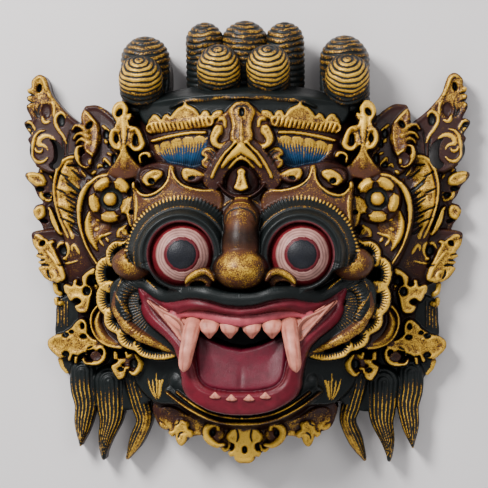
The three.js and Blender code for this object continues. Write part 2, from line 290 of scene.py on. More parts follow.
@dataclass
class Board:
    """The carver's board: heights, outline, paint and gilding over the right half of the mask."""

    x: Array = field(default_factory=lambda: np.arange(0, HALF_WIDTH + STEP, STEP))
    y: Array = field(default_factory=lambda: np.arange(-HALF_HEIGHT, HALF_HEIGHT + STEP, STEP))
    far_outside: float = -9.0
    least_half: float = 0.2
    edge_drop: float = 1.6
    edge_width: float = 1.5
    dish_start: float = 1.6
    dish_end: float = 4.5
    rim_place: float = 1.0
    rim_width: float = 0.9
    rounds: int = 4
    softness: float = 0.42
    broad: float = 2.2
    fine: float = 0.9

    def __post_init__(self) -> None:
        """Lays out an empty board."""
        shape = (len(self.y), len(self.x))
        self.height = np.zeros(shape)
        self.reach = np.full(shape, self.far_outside)
        self.paint = np.zeros(shape + (3,))
        self.gilt = np.zeros(shape)

    def window(self, x0: float, x1: float, y0: float, y1: float) -> tuple:
        """A part of the board.

        Args:
            x0: Its least x.
            x1: Its greatest x.
            y0: Its least y.
            y1: Its greatest y.

        Returns:
            The slices of the part, with the x and y of its points.
        """
        columns = slice(*np.searchsorted(self.x, [x0, x1]))
        rows = slice(*np.searchsorted(self.y, [y0, y1]))
        x, y = np.meshgrid(self.x[columns], self.y[rows])
        return (rows, columns), x, y

    def around(self, path: Array, margin: float) -> tuple:
        """Returns the part of the board within a margin of a path."""
        (x0, y0), (x1, y1) = path.min(0) - margin, path.max(0) + margin
        return self.window(x0, x1, y0, y1)

    def lay(self, part: tuple, inside: Array, height: Array, coat: Coat, mode: Mode = Mode.RAISE,
            solid: bool = False, gilt: Array = None) -> None:
        """Lays one form on the board.

        Args:
            part: The slices of the board that it covers.
            inside: How far inside its outline each point lies.
            height: Its height at each point.
            coat: Its finish.
            mode: How it meets what is there.
            solid: Whether it goes down to the mask's back, so that it adds to the outline.
            gilt: Its gilding at each point, where that isn't the coat's own.
        """
        now = self.height[part]
        where = inside > 0
        if mode is Mode.RAISE:
            where &= height > now
        now[where] = height[where]
        self.paint[part][where] = coat.tint.value
        self.gilt[part][where] = coat.gilt if gilt is None else gilt[where]
        if solid:
            np.maximum(self.reach[part], inside, out=self.reach[part])

    def coated(self, part: tuple, where: Array, coat: Coat) -> None:
        """Gives some points of a part of the board a coat."""
        self.paint[part][where] = coat.tint.value
        self.gilt[part][where] = coat.gilt

    def stroke(self, path: Path, half: Along, top: Along, coat: Coat, bulge: float = 1.0, solid: bool = False,
            detail: Callable = None, gilt: Callable = None) -> None:
        """A ridge along a path, rounded across.

        Args:
            path: The path, or the few points that it goes through.
            half: Its half width along the path.
            top: The height of its shoulders along the path.
            coat: Its finish.
            bulge: How much higher its middle is than its shoulders.
            solid: Whether it goes down to the back.
            detail: Adds to the height, from t, the share across and the distance across.
            gilt: Gives the gilding, from the same values.
        """
        path = path if isinstance(path, Array) else curve(path)
        widest = float(np.max(at(half, np.linspace(0, 1, 40))))
        part, x, y = self.around(path, widest + 2)
        if x.size == 0:
            return
        t, s = along(path, x, y)
        w = np.maximum(at(half, t), self.least_half)
        u = s / w
        height = at(top, t) + bulge * np.clip(1 - u * u, 0, 1)
        if detail is not None:
            height = height + detail(t, u, s)
        self.lay(part, w - np.abs(s), height, coat, Mode.RAISE, solid, None if gilt is None else gilt(t, u, s))

    def bead(self, path: Path, half: Along, rise: float, coat: Coat = None) -> None:
        """Adds a rounded bead along a path to what is there.

        Args:
            path: The path, or the few points that it goes through.
            half: Its half width along the path.
            rise: How high it is, or how deep as a groove where it is below nothing.
            coat: Its finish, where it has its own.
        """
        path = path if isinstance(path, Array) else curve(path)
        widest = float(np.max(at(half, np.linspace(0, 1, 20))))
        part, x, y = self.around(path, widest + 1)
        if x.size == 0:
            return
        t, s = along(path, x, y)
        w = np.maximum(at(half, t), self.least_half)
        share = np.clip(1 - (s / w) ** 2, 0, 1)
        self.height[part] += rise * share
        if coat is not None:
            self.coated(part, share > 0.12, coat)

    def oval(self, x: float, y: float, rx: float, ry: float, turn: float) -> tuple:
        """A part of the board around an oval.

        Args:
            x: Its middle's x.
            y: Its middle's y.
            rx: Its half length.
            ry: Its half width.
            turn: The angle of its length, in degrees.

        Returns:
            The slices of the part, with the distance from the oval's middle, which is 1 on its edge.
        """
        reach = max(rx, ry) + 2
        part, gx, gy = self.window(x - reach, x + reach, y - reach, y + reach)
        c, s = math.cos(math.radians(turn)), math.sin(math.radians(turn))
        dx, dy = gx - x, gy - y
        return part, np.hypot((dx * c + dy * s) / rx, (dy * c - dx * s) / ry)

    def dome(self, x: float, y: float, rx: float, ry: float, top: float, coat: Coat, rise: float = 3,
            turn: float = 0, mode: Mode = Mode.RAISE, solid: bool = False, gilt: Callable = None) -> None:
        """A rounded boss.

        Args:
            x: Its middle's x.
            y: Its middle's y.
            rx: Its half length.
            ry: Its half width.
            top: The height of its crown.
            coat: Its finish.
            rise: How much higher its crown is than its edge.
            turn: The angle of its length, in degrees.
            mode: How it meets what is there.
            solid: Whether it goes down to the back.
            gilt: Gives the gilding from the distance from its middle.
        """
        part, r = self.oval(x, y, rx, ry, turn)
        height = top - rise + rise * np.sqrt(np.clip(1 - r * r, 0, 1))
        self.lay(part, (1 - r) * min(rx, ry), height, coat, mode, solid, None if gilt is None else gilt(r))

    def pit(self, x: float, y: float, rx: float, ry: float, depth: float, turn: float = 0,
            coat: Coat = BLACK) -> None:
        """Sinks an oval pit into what is there.

        Args:
            x: Its middle's x.
            y: Its middle's y.
            rx: Its half length.
            ry: Its half width.
            depth: Its depth.
            turn: The angle of its length, in degrees.
            coat: Its finish.
        """
        part, r = self.oval(x, y, rx, ry, turn)
        self.height[part] -= depth * np.sqrt(np.clip(1 - r**4, 0, 1))
        self.coated(part, r < 1, coat)

    def plate(self, outline: Sequence[Point], top: Union[float, Callable], coat: Coat, rim: float = 1.0,
            body: float = None, dish: float = 0.7, shade: Callable = None, mode: Mode = Mode.RAISE) -> None:
        """A flat form down to the back, with a smooth outline and a raised edge that the gold is rubbed on.

        Args:
            outline: The outline's points.
            top: Its height, or a function of x and y.
            coat: Its finish.
            rim: The gilding of its edge.
            body: The gilding of its middle, the coat's own where it's left out.
            dish: How much lower its middle is than its edge.
            shade: Multiplies the gilding, from x and y.
            mode: How it meets what is there.
        """
        path = ring(outline)
        part, x, y = self.around(path, 1)
        inside = inside_of(path, x, y)
        height = top(x, y) if callable(top) else np.full(x.shape, float(top))
        height = height - self.edge_drop * smooth(self.edge_width, 0, inside)
        height = height - dish * smooth(self.dish_start, self.dish_end, inside)
        middle = coat.gilt if body is None else body
        gilt = middle + (rim - middle) * bell(inside, self.rim_place, self.rim_width)
        if shade is not None:
            gilt = gilt * shade(x, y)
        self.lay(part, inside, height, coat, mode, True, gilt)

    def lines(self, coat: Coat, rise: float, *paths: tuple) -> None:
        """Adds thin beads, or cuts grooves where their rise is below nothing.

        Args:
            coat: Their finish.
            rise: How high they are.
            paths: The half width of each, with the points that it goes through.
        """
        for half, points in paths:
            thin = lambda t, h=half: h * np.clip(1 - np.abs(2 * t - 1) ** 5, 0.3, 1)
            self.bead(curve(points, 5), thin, rise, coat)

    def tint(self, outline: Sequence[Point], coat: Coat) -> None:
        """Paints what lies inside an outline.

        Args:
            outline: The outline's points.
            coat: The finish.
        """
        path = ring(outline)
        part, x, y = self.around(path, 1)
        self.coated(part, inside_of(path, x, y) > 0, coat)

    def pierce(self, outline: Sequence[Point]) -> None:
        """Cuts a gap right through.

        Args:
            outline: The outline's points.
        """
        path = ring(outline)
        part, x, y = self.around(path, 2)
        inside = inside_of(path, x, y)
        self.height[part][inside > 0] = 0
        np.minimum(self.reach[part], -inside, out=self.reach[part])

    def finished(self) -> dict[str, Array]:
        """Softens the carving, rubs the gilding and paints shade into hollows and onto steep walls, over the whole
        width.

        Returns:
            The grids that the pieces are cut from.
        """
        height, reach, paint, gilt = self.height, self.reach, self.paint, self.gilt
        empty = reach <= 0
        height[empty] = 0
        for _ in range(self.rounds):
            empty &= height <= 0
            for axis, way in ((0, 1), (0, -1), (1, 1), (1, -1)):
                near = np.roll(height, way, axis)
                fill = empty & (near > height)
                height[fill] = near[fill]
                paint[fill] = np.roll(paint, way, axis)[fill]
                gilt[fill] = np.roll(gilt, way, axis)[fill]
        whole = lambda grid: np.concatenate([grid[:, :0:-1], grid], axis=1)
        height, reach, paint, gilt = whole(height), whole(reach), whole(paint), whole(gilt)
        weight = blurred((height > 0).astype(float), self.softness)
        height = np.where(height > 0, blurred(height, self.softness) / np.maximum(weight, TINY), 0)
        wide = blurred(np.where(reach > 0, height, height - 5), self.broad)
        proud = height - wide
        fine = height - blurred(height, self.fine)
        gilt = gilt * (0.30 + 0.70 * smooth(-1.1, 0.15, proud)) * (0.62 + 0.38 * smooth(-0.22, 0.16, fine))
        # Painted shade: the paint is darkened where the carving lies below its surroundings, and further on steep
        # walls.
        shade = 0.55 + 0.45 * smooth(-2.0, 0.6, proud)
        gy, gx = np.gradient(height, STEP)
        steep = smooth(2.0, 4.5, np.hypot(gx, gy))
        gilt = gilt * (1 - 0.9 * steep)
        paint = paint * shade[..., None] * (1 - 0.35 * steep[..., None])
        return {"height": height, "reach": reach, "paint": paint, "gilt": gilt}


# The carving, one class for each part of the mask


@dataclass
class Block:
    """The broad forms of the block that the mask is carved from."""

    head: tuple = (0, -22, 98, 104, 66, 2.6)
    crown: tuple = (0, 70, 88, 50, 56, 3)
    chin: tuple = (0, -92, 64, 48, 64, 2.4)
    wing: tuple = (98, 6, 50, 78, 30, 2)
    blend: float = 7
    outline: tuple = ((0, 111), (40, 109), (66, 103), (80, 90), (95, 80), (118, 70), (130, 56), (134, 40),
        (134, 14), (130, -6), (131, -28), (122, -50), (122, -72), (112, -86), (88, -94), (64, -112), (46, -128),
        (20, -136), (0, -140),)

    def carve(self, board: Board) -> None:
        """Sets the block on the board.

        Args:
            board: The board.
        """
        part, x, y = board.window(-1, HALF_WIDTH + 1, -HALF_HEIGHT - 1, HALF_HEIGHT + 1)
        height = np.full(x.shape, PLATE_HEIGHT)
        for form in (self.head, self.crown, self.chin, self.wing):
            height = blended(height, self.swell(form, x, y), self.blend)
        rim = curve(self.outline, 6)
        inside = inside_of(np.vstack([rim, rim[::-1] * (-1, 1)]), x, y)
        board.lay(part, inside, height, MAROON, Mode.RAISE, True)

    def swell(self, form: tuple, x: Array, y: Array) -> Array:
        """The height of one broad dome.

        Args:
            form: Its middle's x and y, its half width, half height and top, and how full it is.
            x: The x of each point.
            y: The y of each point.

        Returns:
            The height at each point.
        """
        fx, fy, rx, ry, height, fullness = form
        across = np.hypot((x - fx) / rx, (y - fy) / ry)
        return height * np.sqrt(np.clip(1 - across**fullness, 0, 1))


@dataclass
class Wing:
    """The leaf work on one side of the face."""

    flower: tuple = (94.3, 30)

    def carve(self, board: Board) -> None:
        """Carves the wing, from the rim in towards the face.

        Args:
            board: The board.
        """
        self.flame(board)
        self.hook(board)
        self.rim_leaves(board)
        self.back_leaf(board)
        self.fan(board)
        self.spotted_leaf(board)
        self.upright_leaf(board)
        self.side_leaf(board)
        self.cross_leaf(board)
        self.jaw_leaves(board)
        self.crescent(board)
        self.blossom(board)
        board.pierce([(142.4, 74), (140.6, 71.6), (139.4, 68), (139, 63), (139.8, 58.8), (142.6, 55.4), (139.5, 52),
            (135.4, 52.6), (132.6, 56.2), (131.6, 60.5), (132, 65.4), (134.4, 70.2), (138.4, 73.6)])

    def flame(self, board: Board) -> None:
        """Carves the tall outer flame with its two scrolls.

        Args:
            board: The board.
        """
        board.plate([(149.5, 121.2), (145.6, 119), (143.3, 113.5), (141.8, 108.5), (139, 103.5), (135, 98.8),
            (130.5, 94), (125.5, 89.6), (119, 84), (116, 74), (120, 62), (128, 54), (140, 49), (150.6, 53.4),
            (153, 56.8), (155.7, 61), (155.8, 66), (156.6, 70), (158.3, 74), (156.6, 77), (159.2, 81.3),
            (160.8, 84), (161, 86.6), (158, 88.3), (155.8, 88.6), (157.6, 92.5), (159.3, 96), (159.1, 99),
            (156.8, 101), (158.8, 102.2), (158.9, 105.2), (156, 106.6), (158.4, 107.8), (158.6, 110.4),
            (156.2, 112), (156, 116.5), (153, 120)], lambda x, y: 21 - 0.055 * (y - 70) - 0.07 * (x - 130),
            Coat(Tint.MAROON, 0.5), rim=0.6, shade=fade(0.12, 84, 106))
        board.lines(GOLD, 1.2, (1.0, [(152.6, 118), (149.6, 119), (147.2, 116.5), (145.8, 112.5), (145, 109.5)]),
            (1.0, [(143.4, 107), (141.8, 104.4)]), (0.9, [(141.4, 101), (139.6, 98.5), (139, 94.5), (139.6, 90.5)]),
            (1.2, [(146.4, 92), (147.3, 88.8), (145.5, 86.2), (142.2, 87.2)]), (1.1, [(130.6, 89.5), (131.8, 92.2),
            (134.4, 93.2), (137.4, 91), (138.4, 87.5), (137.4, 84), (135, 80), (132, 76), (129.8, 71)]), (0.9,
            [(160, 86), (157.5, 86.8), (154.8, 84.5), (152.8, 80.5)]), (0.7, [(159, 82), (156.5, 80.5), (155, 78)]))
        board.lines(BLACK, -2, (0.6, [(158, 107), (153.6, 106)]), (0.6, [(158.4, 101.4), (154, 100.6)]),
            (0.7, [(153.6, 95.5), (151, 90)]), (0.5, [(149.4, 99.5), (150.8, 94.5), (149.4, 89.5)]),
            (0.6, [(157, 76), (154.6, 82)]), (0.5, [(127, 80), (129, 70), (129.6, 60)]), (0.5, [(133, 74),
            (131.6, 66), (131.8, 60)]))
        for x, y in ((157.3, 109.6), (157.6, 104), (157.8, 98.2)):
            board.dome(x, y, 1.7, 1.3, 18, GOLD, 2)
        board.pit(144.8, 94.5, 3.8, 5.6, 1.8, 0, MAROON)
        board.pit(133.6, 87.4, 2.6, 4.4, 2.4)
        board.pit(150.3, 111.2, 3.2, 1.7, 5, 100)
        board.pit(157.6, 83.4, 2, 1.8, 2)

    def hook(self, board: Board) -> None:
        """Carves the scroll that hangs from the flame, with the gap beside it.

        Args:
            board: The board.
        """
        board.dome(149, 66.5, 8.6, 11, 15.5, BLACK, 1, solid=True)
        board.lines(GOLD, 2.4, (1.3, [(146, 80.6), (150, 79.4), (153, 75.6), (154.2, 70), (155, 64), (154.2, 60.4),
            (152, 58.3), (149, 57.4), (145.8, 58.3), (143.6, 60.6)]), (0.9, [(152.4, 68), (152, 65.8), (150, 64.8),
            (148, 65.2), (147.4, 67)]))
        board.stroke([(134, 66), (137, 72.2), (141, 75.6), (145.5, 76.4), (149, 74.4), (150.2, 71)],
            slope(1.3, 2.6), 18, GOLD, 1.6)
        board.stroke([(149.8, 74), (150, 70.4), (147, 69.6), (144.4, 68), (143.4, 65.4), (144.2, 62)],
            slope(2.6, 1.5), 18, GOLD, 1.6)

    def rim_leaves(self, board: Board) -> None:
        """Carves the small leaves along the rim.

        Args:
            board: The board.
        """
        board.plate([(131, 66), (140, 56), (150.6, 53), (152, 50), (160, 50), (160.4, 46), (155, 40), (153.6, 37),
            (151.5, 32.5), (148, 28.2), (153, 26.4), (155, 22.5), (153, 17.5), (149.5, 13), (147, 8), (140, 4),
            (130, 8)], 13.5, MAROON, rim=0.1)
        board.plate([(160.4, 49.4), (156, 50.6), (150.4, 49.6), (147, 47.2), (145.4, 43.4), (147, 40.6),
            (152, 40.3), (157, 43), (160.2, 46.4)], 16, GOLD, body=0.68)
        board.plate([(154.8, 22.5), (152, 25.6), (148, 26.2), (146, 24), (145.8, 20), (148, 16.6), (151, 15.6),
            (153.8, 18.5)], 17, GOLD, body=0.68)
        board.stroke([(143, 24.6), (141.4, 22), (139.6, 16), (136.6, 9.5), (133.6, 5)], hump(1.0, 2.3), 20, GOLD,
            1.6, detail=lambda t, u, s: -1.4 * bell(u, 0.2, 0.22))
        board.lines(GOLD, 2.2, (1.2, [(150, 52.2), (147.6, 50.2)]), (0.9, [(143.4, 48.4), (141.8, 46.6),
            (140.4, 44)]), (1.6, [(149.6, 35.6), (148.4, 32.8), (146.2, 30.8)]), (1.7,
            [(141.8, 35.6), (141.6, 31.6)]), (0.8, [(136.4, 9), (133, 2.6)]), (0.8, [(146.2, 30.4), (143.4, 29.6),
            (141.6, 30.8)]))
        board.pit(150.4, 38, 3.2, 1.7, 4)
        board.pit(147.2, 14.8, 2.8, 1.3, 4, 10)
        board.pit(144.6, 33.6, 1.6, 3.2, 3, 90)

    def back_leaf(self, board: Board) -> None:
        """Carves the dark leaf that lies furthest back.

        Args:
            board: The board.
        """
        board.plate([(116.5, 96.6), (112, 98.3), (107, 98.3), (102, 95.8), (97, 91.8), (92, 87), (86, 76), (82, 58),
            (100, 48), (114, 50), (119, 70), (118.6, 86)],
            lambda x, y: 25 + 0.1 * (85 - y) + 0.25 * np.clip(104 - x, 0, 30), BARE_MAROON, rim=0.3)
        board.lines(GOLD, 2.2, (0.9, [(103.2, 83.8), (100, 81), (97.2, 78.6)]), (0.9, [(100.7, 73.8), (100.2, 71.6),
            (97.8, 71.2)]), (1.0, [(96.4, 68.4), (95, 66), (92.6, 63.4), (90.6, 60)]),
            (0.8, [(98.8, 63.4), (96, 62.2)]), (0.9, [(101.9, 57.6), (101.3, 59.4), (99.4, 58), (96.2, 53.4)]),
            (0.9, [(105.8, 53), (104.8, 55), (102.6, 54)]), (1.1, [(107.4, 50.6), (109.4, 48.8), (109, 46.2)]),
            (0.8, [(105.4, 79), (104.2, 74), (105, 69)]))
        for x, y, rx, ry in ((100, 77, 2.4, 3.6), (97, 70, 2, 3), (94, 59, 2, 4), (100, 54.6, 2.6, 2)):
            board.pit(x, y, rx, ry, 2.5)

    def fan(self, board: Board) -> None:
        """Carves the ribbed fan behind the flower, with its raised rim.

        Args:
            board: The board.
        """
        board.plate([(120, 62), (126, 62.4), (131, 60.4), (135.4, 55), (138, 48.6), (139.6, 41), (139.4, 32),
            (138, 24), (135.4, 15), (131, 5), (124, -4), (112, 0), (110, 30), (112, 52)], 23.5, MAROON, rim=0.05,
            dish=0)
        board.plate([(119, 59.2), (124.6, 59.6), (129.6, 58), (132.4, 53.4), (134, 47.4), (136, 40), (136.2, 33),
            (135.4, 26), (133, 19), (130.8, 13), (127.6, 7), (124.6, 1), (121, 6), (118.6, 20), (117.6, 33),
            (117, 40), (117, 48), (117, 54)],
            lambda x, y: 27 + 0.9 * np.sin(0.55 * y) - 0.34 * np.clip(128 - x, 0, 11), GOLD, body=0.62, dish=0,
            shade=fade(0.35, 118, 125, True))
        rim = curve([(119.6, 60.2), (125, 60.8), (129.8, 59.2), (133.6, 55.2), (136.6, 49), (138.4, 41),
            (138.2, 33), (136.8, 25), (134.2, 16.5), (130.4, 8), (128, 3)])
        board.stroke(rim, slope(1.5, 0.8), slope(27, 23), GOLD, 1.8)
        cuts = [((123.6, 50.6), (119.4, 46.4)), ((128.8, 45), (124.4, 40.4), (119.8, 36.8)), ((127.8, 41.6),
            (124, 38.4), (120.4, 35.4)), ((128.8, 32.4), (122, 28.8)), ((127.8, 29.6), (122, 25.6)),
            ((127.6, 21), (122, 18.8)), ((126.6, 17.8), (122, 15.4)), ((126, 13.8), (122, 11)),
            ((125.2, 10), (122, 6.6)), ((124.6, 24), (121.4, 22.4)), ((127.4, 53.6), (122.6, 54.6)),
            ((124.8, 34.6), (120.4, 32)), ((133.4, 49), (130.6, 47.4)), ((135.2, 36.8), (131.6, 35.6)),
            ((134.4, 23.8), (130.4, 22.6)), ((132.2, 15.8), (129, 15.2))]
        board.lines(BLACK, -2.6, *((0.75, [(cut[0][0] + 1.6, cut[0][1] + 1.2), *cut[1:],
            (cut[-1][0] - 3, cut[-1][1] - 1.5)]) for cut in cuts))

    def spotted_leaf(self, board: Board) -> None:
        """Carves the spotted leaf above the fan, with three lobes and a scroll on its outer side.

        Args:
            board: The board.
        """
        board.plate([(116.2, 95.2), (112.8, 92.3), (108.8, 88.2), (105.6, 84), (104.5, 78), (105.2, 71),
            (106.6, 64), (111, 60), (116, 66), (115.6, 73), (116, 79), (117, 84), (118.4, 88), (118, 92.5)],
            tilted(34, -0.24, 62), UMBER, rim=0.35, body=0.44)
        for path in ([(113.6, 79.4), (118.4, 82.8), (122.6, 83.4), (124.8, 80.6)], [(112.6, 75.2), (117.4, 77.8),
                (121.6, 77), (123.6, 74.4)], [(112, 70.6), (117, 73.6), (120.2, 72.8), (122, 70.4)]):
            board.stroke(curve(path), slope(2.1, 1.0), slope(31, 25), UMBER, 1.6,
                gilt=lambda t, u, s: 0.5 + 0.3 * t)
        board.stroke([(116.4, 68.4), (119.6, 67.4), (120.4, 63), (118.8, 58), (115.8, 54.4), (111.8, 53.4)],
            hump(0.9, 2.3), 35, GOLD, 2.2)
        board.dome(113.6, 58.6, 4.6, 5.2, 31.5, BARE_MAROON, -2, mode=Mode.OVER)
        board.dome(111.2, 57, 1.2, 1.9, 34.5, GOLD, 2)
        board.lines(GOLD, 1.4, (0.9, [(116, 94.4), (112.8, 91.4), (109.2, 87.6), (106.8, 84.4)]), (0.8,
            [(121, 57.4), (118.6, 52), (115.4, 46.8)]), (0.7, [(113.6, 65.6), (110.4, 63), (107.6, 60.4)]))
        board.pit(112.2, 83.6, 3.2, 2, 5, -55)

    def upright_leaf(self, board: Board) -> None:
        """Carves the upright leaf beside the crown, on its onion-shaped foot.

        Args:
            board: The board.
        """
        board.plate([(84.8, 72), (87.4, 66), (90, 60), (93.6, 54.6), (98, 49), (92, 45), (85, 43.6), (77, 45),
            (70, 50), (76, 56), (80.6, 62), (82.6, 67)], lambda x, y: 47.5 - 0.02 * (x - 84) ** 2 - 0.1 * (66 - y),
            UMBER, rim=0.8, body=0.62, dish=0, shade=fade(0.1, 46, 62))
        board.plate([(86.4, 99.9), (83.4, 98), (82.4, 94), (82.8, 90.8), (80, 90.9), (78.8, 89), (80, 86.8),
            (80.4, 83.4), (76.4, 82), (73.6, 78), (72, 72), (72.2, 67.4), (75.6, 64.8), (80, 65.2), (83, 67.6),
            (86.4, 67.8), (89, 65.2), (92.6, 66.6), (95.2, 71), (95.4, 76), (93, 80.6), (91.4, 84), (92.8, 87.2),
            (94, 91), (93.2, 95.5), (90.6, 98.9)],
            lambda x, y: 48.5 - 0.09 * (y - 64) - 0.03 * (x - 84) ** 2 * smooth(84, 70, y), GOLD, body=1.0,
            shade=fade(0.5, 68, 88))
        board.bead([(84.6, 54), (84.8, 66), (85, 78), (86, 88)], slope(3.4, 2.4), 1.5)
        board.lines(BLACK, -1.2, (0.5, [(82, 80), (82.6, 74), (83.4, 69)]), (0.5, [(88, 80), (87.2, 74),
            (86.4, 69.4)]))
        board.stroke([(88.8, 78.6), (92.4, 79.2), (94, 75.8), (93.8, 71), (91.6, 67.4), (88.8, 66.2), (87.6, 67.8),
            (88.8, 70)], hump(1.2, 2.3), 47, GOLD, 2)
        board.stroke([(79.4, 79.2), (76.8, 80.4), (74.6, 78), (72.6, 73), (71.6, 68.8), (73.2, 66.2), (76, 65),
            (78.8, 66.2), (79.4, 68.8)], hump(1.2, 2.3), 48, GOLD, 2)
        board.lines(GOLD, 1.8, (1.0, [(93.6, 84.6), (91.8, 82.8), (89.4, 82)]), (0.8, [(77.4, 86), (79, 84.6),
            (79.6, 82)]), (0.7, [(86.4, 65), (87.8, 61), (91.6, 56.4)]), (0.7, [(81, 65), (77, 60.2), (73, 54.4)]))
        board.stroke([(72.8, 56), (73.4, 60), (71, 62.3), (67.4, 62.2), (66.4, 60.4)], slope(1.3, 1.8), 49, GOLD, 2)
        board.lines(BLACK, -2, (0.7, [(94, 86.8), (90.4, 85)]), (0.6, [(82, 86.6), (80.6, 82)]))
        board.pit(88.4, 91.6, 3.2, 2, 5, -60)
        board.pit(90.4, 73, 1.7, 3.2, 4)
        board.pit(77, 72, 1.9, 4.2, 4)

    def side_leaf(self, board: Board) -> None:
        """Carves the leaf at mid height, whose tip points out.

        Args:
            board: The board.
        """
        board.plate([(155.2, 6.6), (150, 8.2), (146, 8.6), (138, 9), (124, 4), (110, -4), (112, -20), (124, -30),
            (134, -30), (140, -20), (150, -6), (155.4, 2)], 17.5, BARE_MAROON, rim=0.15)
        board.plate([(155.4, 4.6), (152.4, 5.9), (149.4, 5), (146.4, 2.8), (143.4, 0.3), (141.6, 0.7), (139.8, 1.1),
            (138.3, -0.5), (140.2, -2.2), (138, -5.8), (136.2, -10), (133.6, -14.8), (131, -20), (129.6, -27.4),
            (134, -29.4), (139, -29.4), (145, -27), (148.2, -23.5), (150.8, -19.4), (148.6, -17.2), (151, -15),
            (149, -12.8), (152.6, -10.6), (151, -7.6), (153, -5), (154.8, -2), (155.6, 1.4)],
            tilted(26, -0.36, 130, True), GOLD, body=0.7, rim=0.9)
        board.lines(GOLD, 1.4, (0.9, [(144, -7), (138.6, -13.6), (134.8, -19.6), (132, -27)]), (1.2, [(137.2, -5),
            (135.6, -2), (132.6, -0.9), (129.2, -2.1), (128, -5.5), (128.6, -9), (130.4, -11.4)]), (1.1,
            [(124.8, -6.4), (125, -3.7), (123.4, -2.9), (121.6, -5), (119.4, -9)]), (0.6, [(133, -15.8),
            (127, -15.4), (120.6, -13.8)]), (1.5, [(141.6, -21.6), (139.2, -22), (137.6, -25), (139.4, -28)]))
        board.lines(BLACK, -3, (0.7, [(152, -8.6), (147, -10)]), (0.8, [(151, -13.8), (145.6, -13.2)]), (0.9,
            [(149.8, -17.8), (146.4, -16.8), (142.4, -17.4)]), (0.8, [(143.4, -20.4), (143, -24), (141, -27)]),
            (0.6, [(136, -17), (131.4, -17.4)]))
        board.dome(130.6, -12.2, 1.9, 1.7, 26, GOLD, 2)
        board.pit(147.6, -1.2, 2.6, 1.9, 5, -40)
        board.pit(132.4, -6.6, 3.4, 3.6, 2.5)
        for path in ([(138.8, -31), (137.9, -36), (135.2, -38)], [(138, -42), (137.2, -45), (134.4, -44.8)]):
            board.stroke(curve(path), 1.7, 15.5, GOLD, 1.5, solid=True)

    def cross_leaf(self, board: Board) -> None:
        """Carves the cross-shaped leaf above the jaw leaf.

        Args:
            board: The board.
        """
        board.plate([(129.8, -30.6), (127, -30.6), (124.4, -31.6), (123.6, -28), (121.6, -26.8), (120, -28),
            (120.4, -31), (116.8, -31.2), (117.4, -27.4), (117, -24.6), (113.4, -21.5), (108.4, -18.6),
            (105.6, -19.6), (107.4, -23.6), (111.4, -25), (113, -30), (110, -33), (109.2, -37.4), (110.2, -42),
            (110.8, -45.5), (112.2, -50), (115.6, -51.8), (119.6, -51.3), (122.2, -48.6), (122.6, -45.7),
            (120, -44.6), (118, -43.4), (119.6, -41.6), (122.2, -41.4), (124.8, -43.6), (127, -42), (129, -38),
            (130.2, -33.6)], tilted(34, -0.2, 115, True), GOLD, body=0.78)
        board.pit(113.4, -35.6, 3.1, 3.4, 5)
        board.pit(109, -28.4, 3, 3.2, 3)
        board.lines(GOLD, 2, (1.1, [(108.6, -30.8), (107, -33), (107.4, -35)]))
        board.lines(BLACK, -3, (0.9, [(124.4, -43.8), (120.8, -42.2), (117.6, -43)]))

    def jaw_leaves(self, board: Board) -> None:
        """Carves the leaf beside the jaw and the small one below it.

        Args:
            board: The board.
        """
        board.plate([(144, -72), (142, -69.8), (138, -67.6), (133.5, -66.6), (130.6, -65), (127, -62.8),
            (124.6, -60), (122, -57.4), (119, -55.4), (115.6, -56.2), (113.6, -59.4), (113, -63.2), (113.6, -66),
            (109, -69.6), (103, -71), (101, -76), (106, -78), (114, -79), (114, -82), (120, -82.2), (122, -87.6),
            (124, -87.6), (124.4, -82), (126.8, -86.6), (129, -86.4), (129.6, -83.6), (134.6, -84.6), (137, -83.2),
            (141, -80), (144, -76)], tilted(27, -0.32, 112, True), GOLD, body=0.66)
        board.stroke([(106.6, -77.6), (104.6, -76.2), (102, -76.8), (100.8, -80), (102, -84.4), (106, -87.4),
            (111, -87.8), (115, -87.2), (116.6, -84.6)], hump(1.2, 2.0), 28, GOLD, 2, solid=True)
        board.dome(107.6, -82.4, 4.6, 4, 26, MAROON, -1.5, mode=Mode.OVER)
        board.lines(GOLD, 1.6, (1.1, [(124.4, -60.6), (120.4, -56.8), (117, -57), (115, -60), (115, -63.6)]), (1.0,
            [(129.4, -66.2), (128.6, -69), (126.6, -69.8)]))
        board.lines(BLACK, -3.4, (0.9, [(114, -77.4), (110, -75.6)]), (1.0, [(114.6, -80.4), (118.8, -81.6)]), (0.8,
            [(125.6, -82.4), (121, -82.6)]), (0.8, [(131, -84.6), (128, -82)]))
        for x, y, rx, ry in ((130.6, -67.6, 2.8, 2.1), (126.2, -65.4, 1.9, 1.6), (117, -68.6, 2.7, 1.9),
                (117.8, -61, 1.6, 2.4), (130.4, -81.4, 2.8, 2.1)):
            board.pit(x, y, rx, ry, 5)
        board.stroke([(134.4, -86), (133.4, -90.5), (130.6, -94.6)], slope(2.6, 1.4), 13, GOLD, 1.2, solid=True)
        board.dome(79.4, -86.8, 7.4, 8, 34, MAROON, 2)
        board.plate([(96.2, -88.8), (95.3, -93), (93, -97), (90.8, -99.5), (87.8, -99), (85.4, -96.6), (85, -93.4),
            (86, -90), (88, -88.6), (84.4, -85), (88.6, -83), (92.6, -86.6)], 34, GOLD, body=0.8)
        board.stroke([(84.6, -79.6), (83.6, -82.4), (81, -81)], slope(1.8, 0.8), 35, GOLD, 1.6)
        board.stroke([(78, -80.4), (75.6, -84), (74.2, -87.4), (75.8, -92), (79.2, -94.8), (81.8, -93)],
            hump(1.0, 2.4), 37, GOLD, 2)
        board.stroke([(82.8, -90.2), (85, -90.6), (85.4, -93)], 1.1, 37, GOLD, 1.5)
        board.plate([(94.6, -78.4), (91, -78.8), (90.4, -84.6), (94.4, -84.8)], 33, GOLD, body=0.6)
        board.pit(89, -91.6, 2.2, 1.8, 3.5)
        board.pit(79.2, -87.4, 3.2, 3.6, 3)

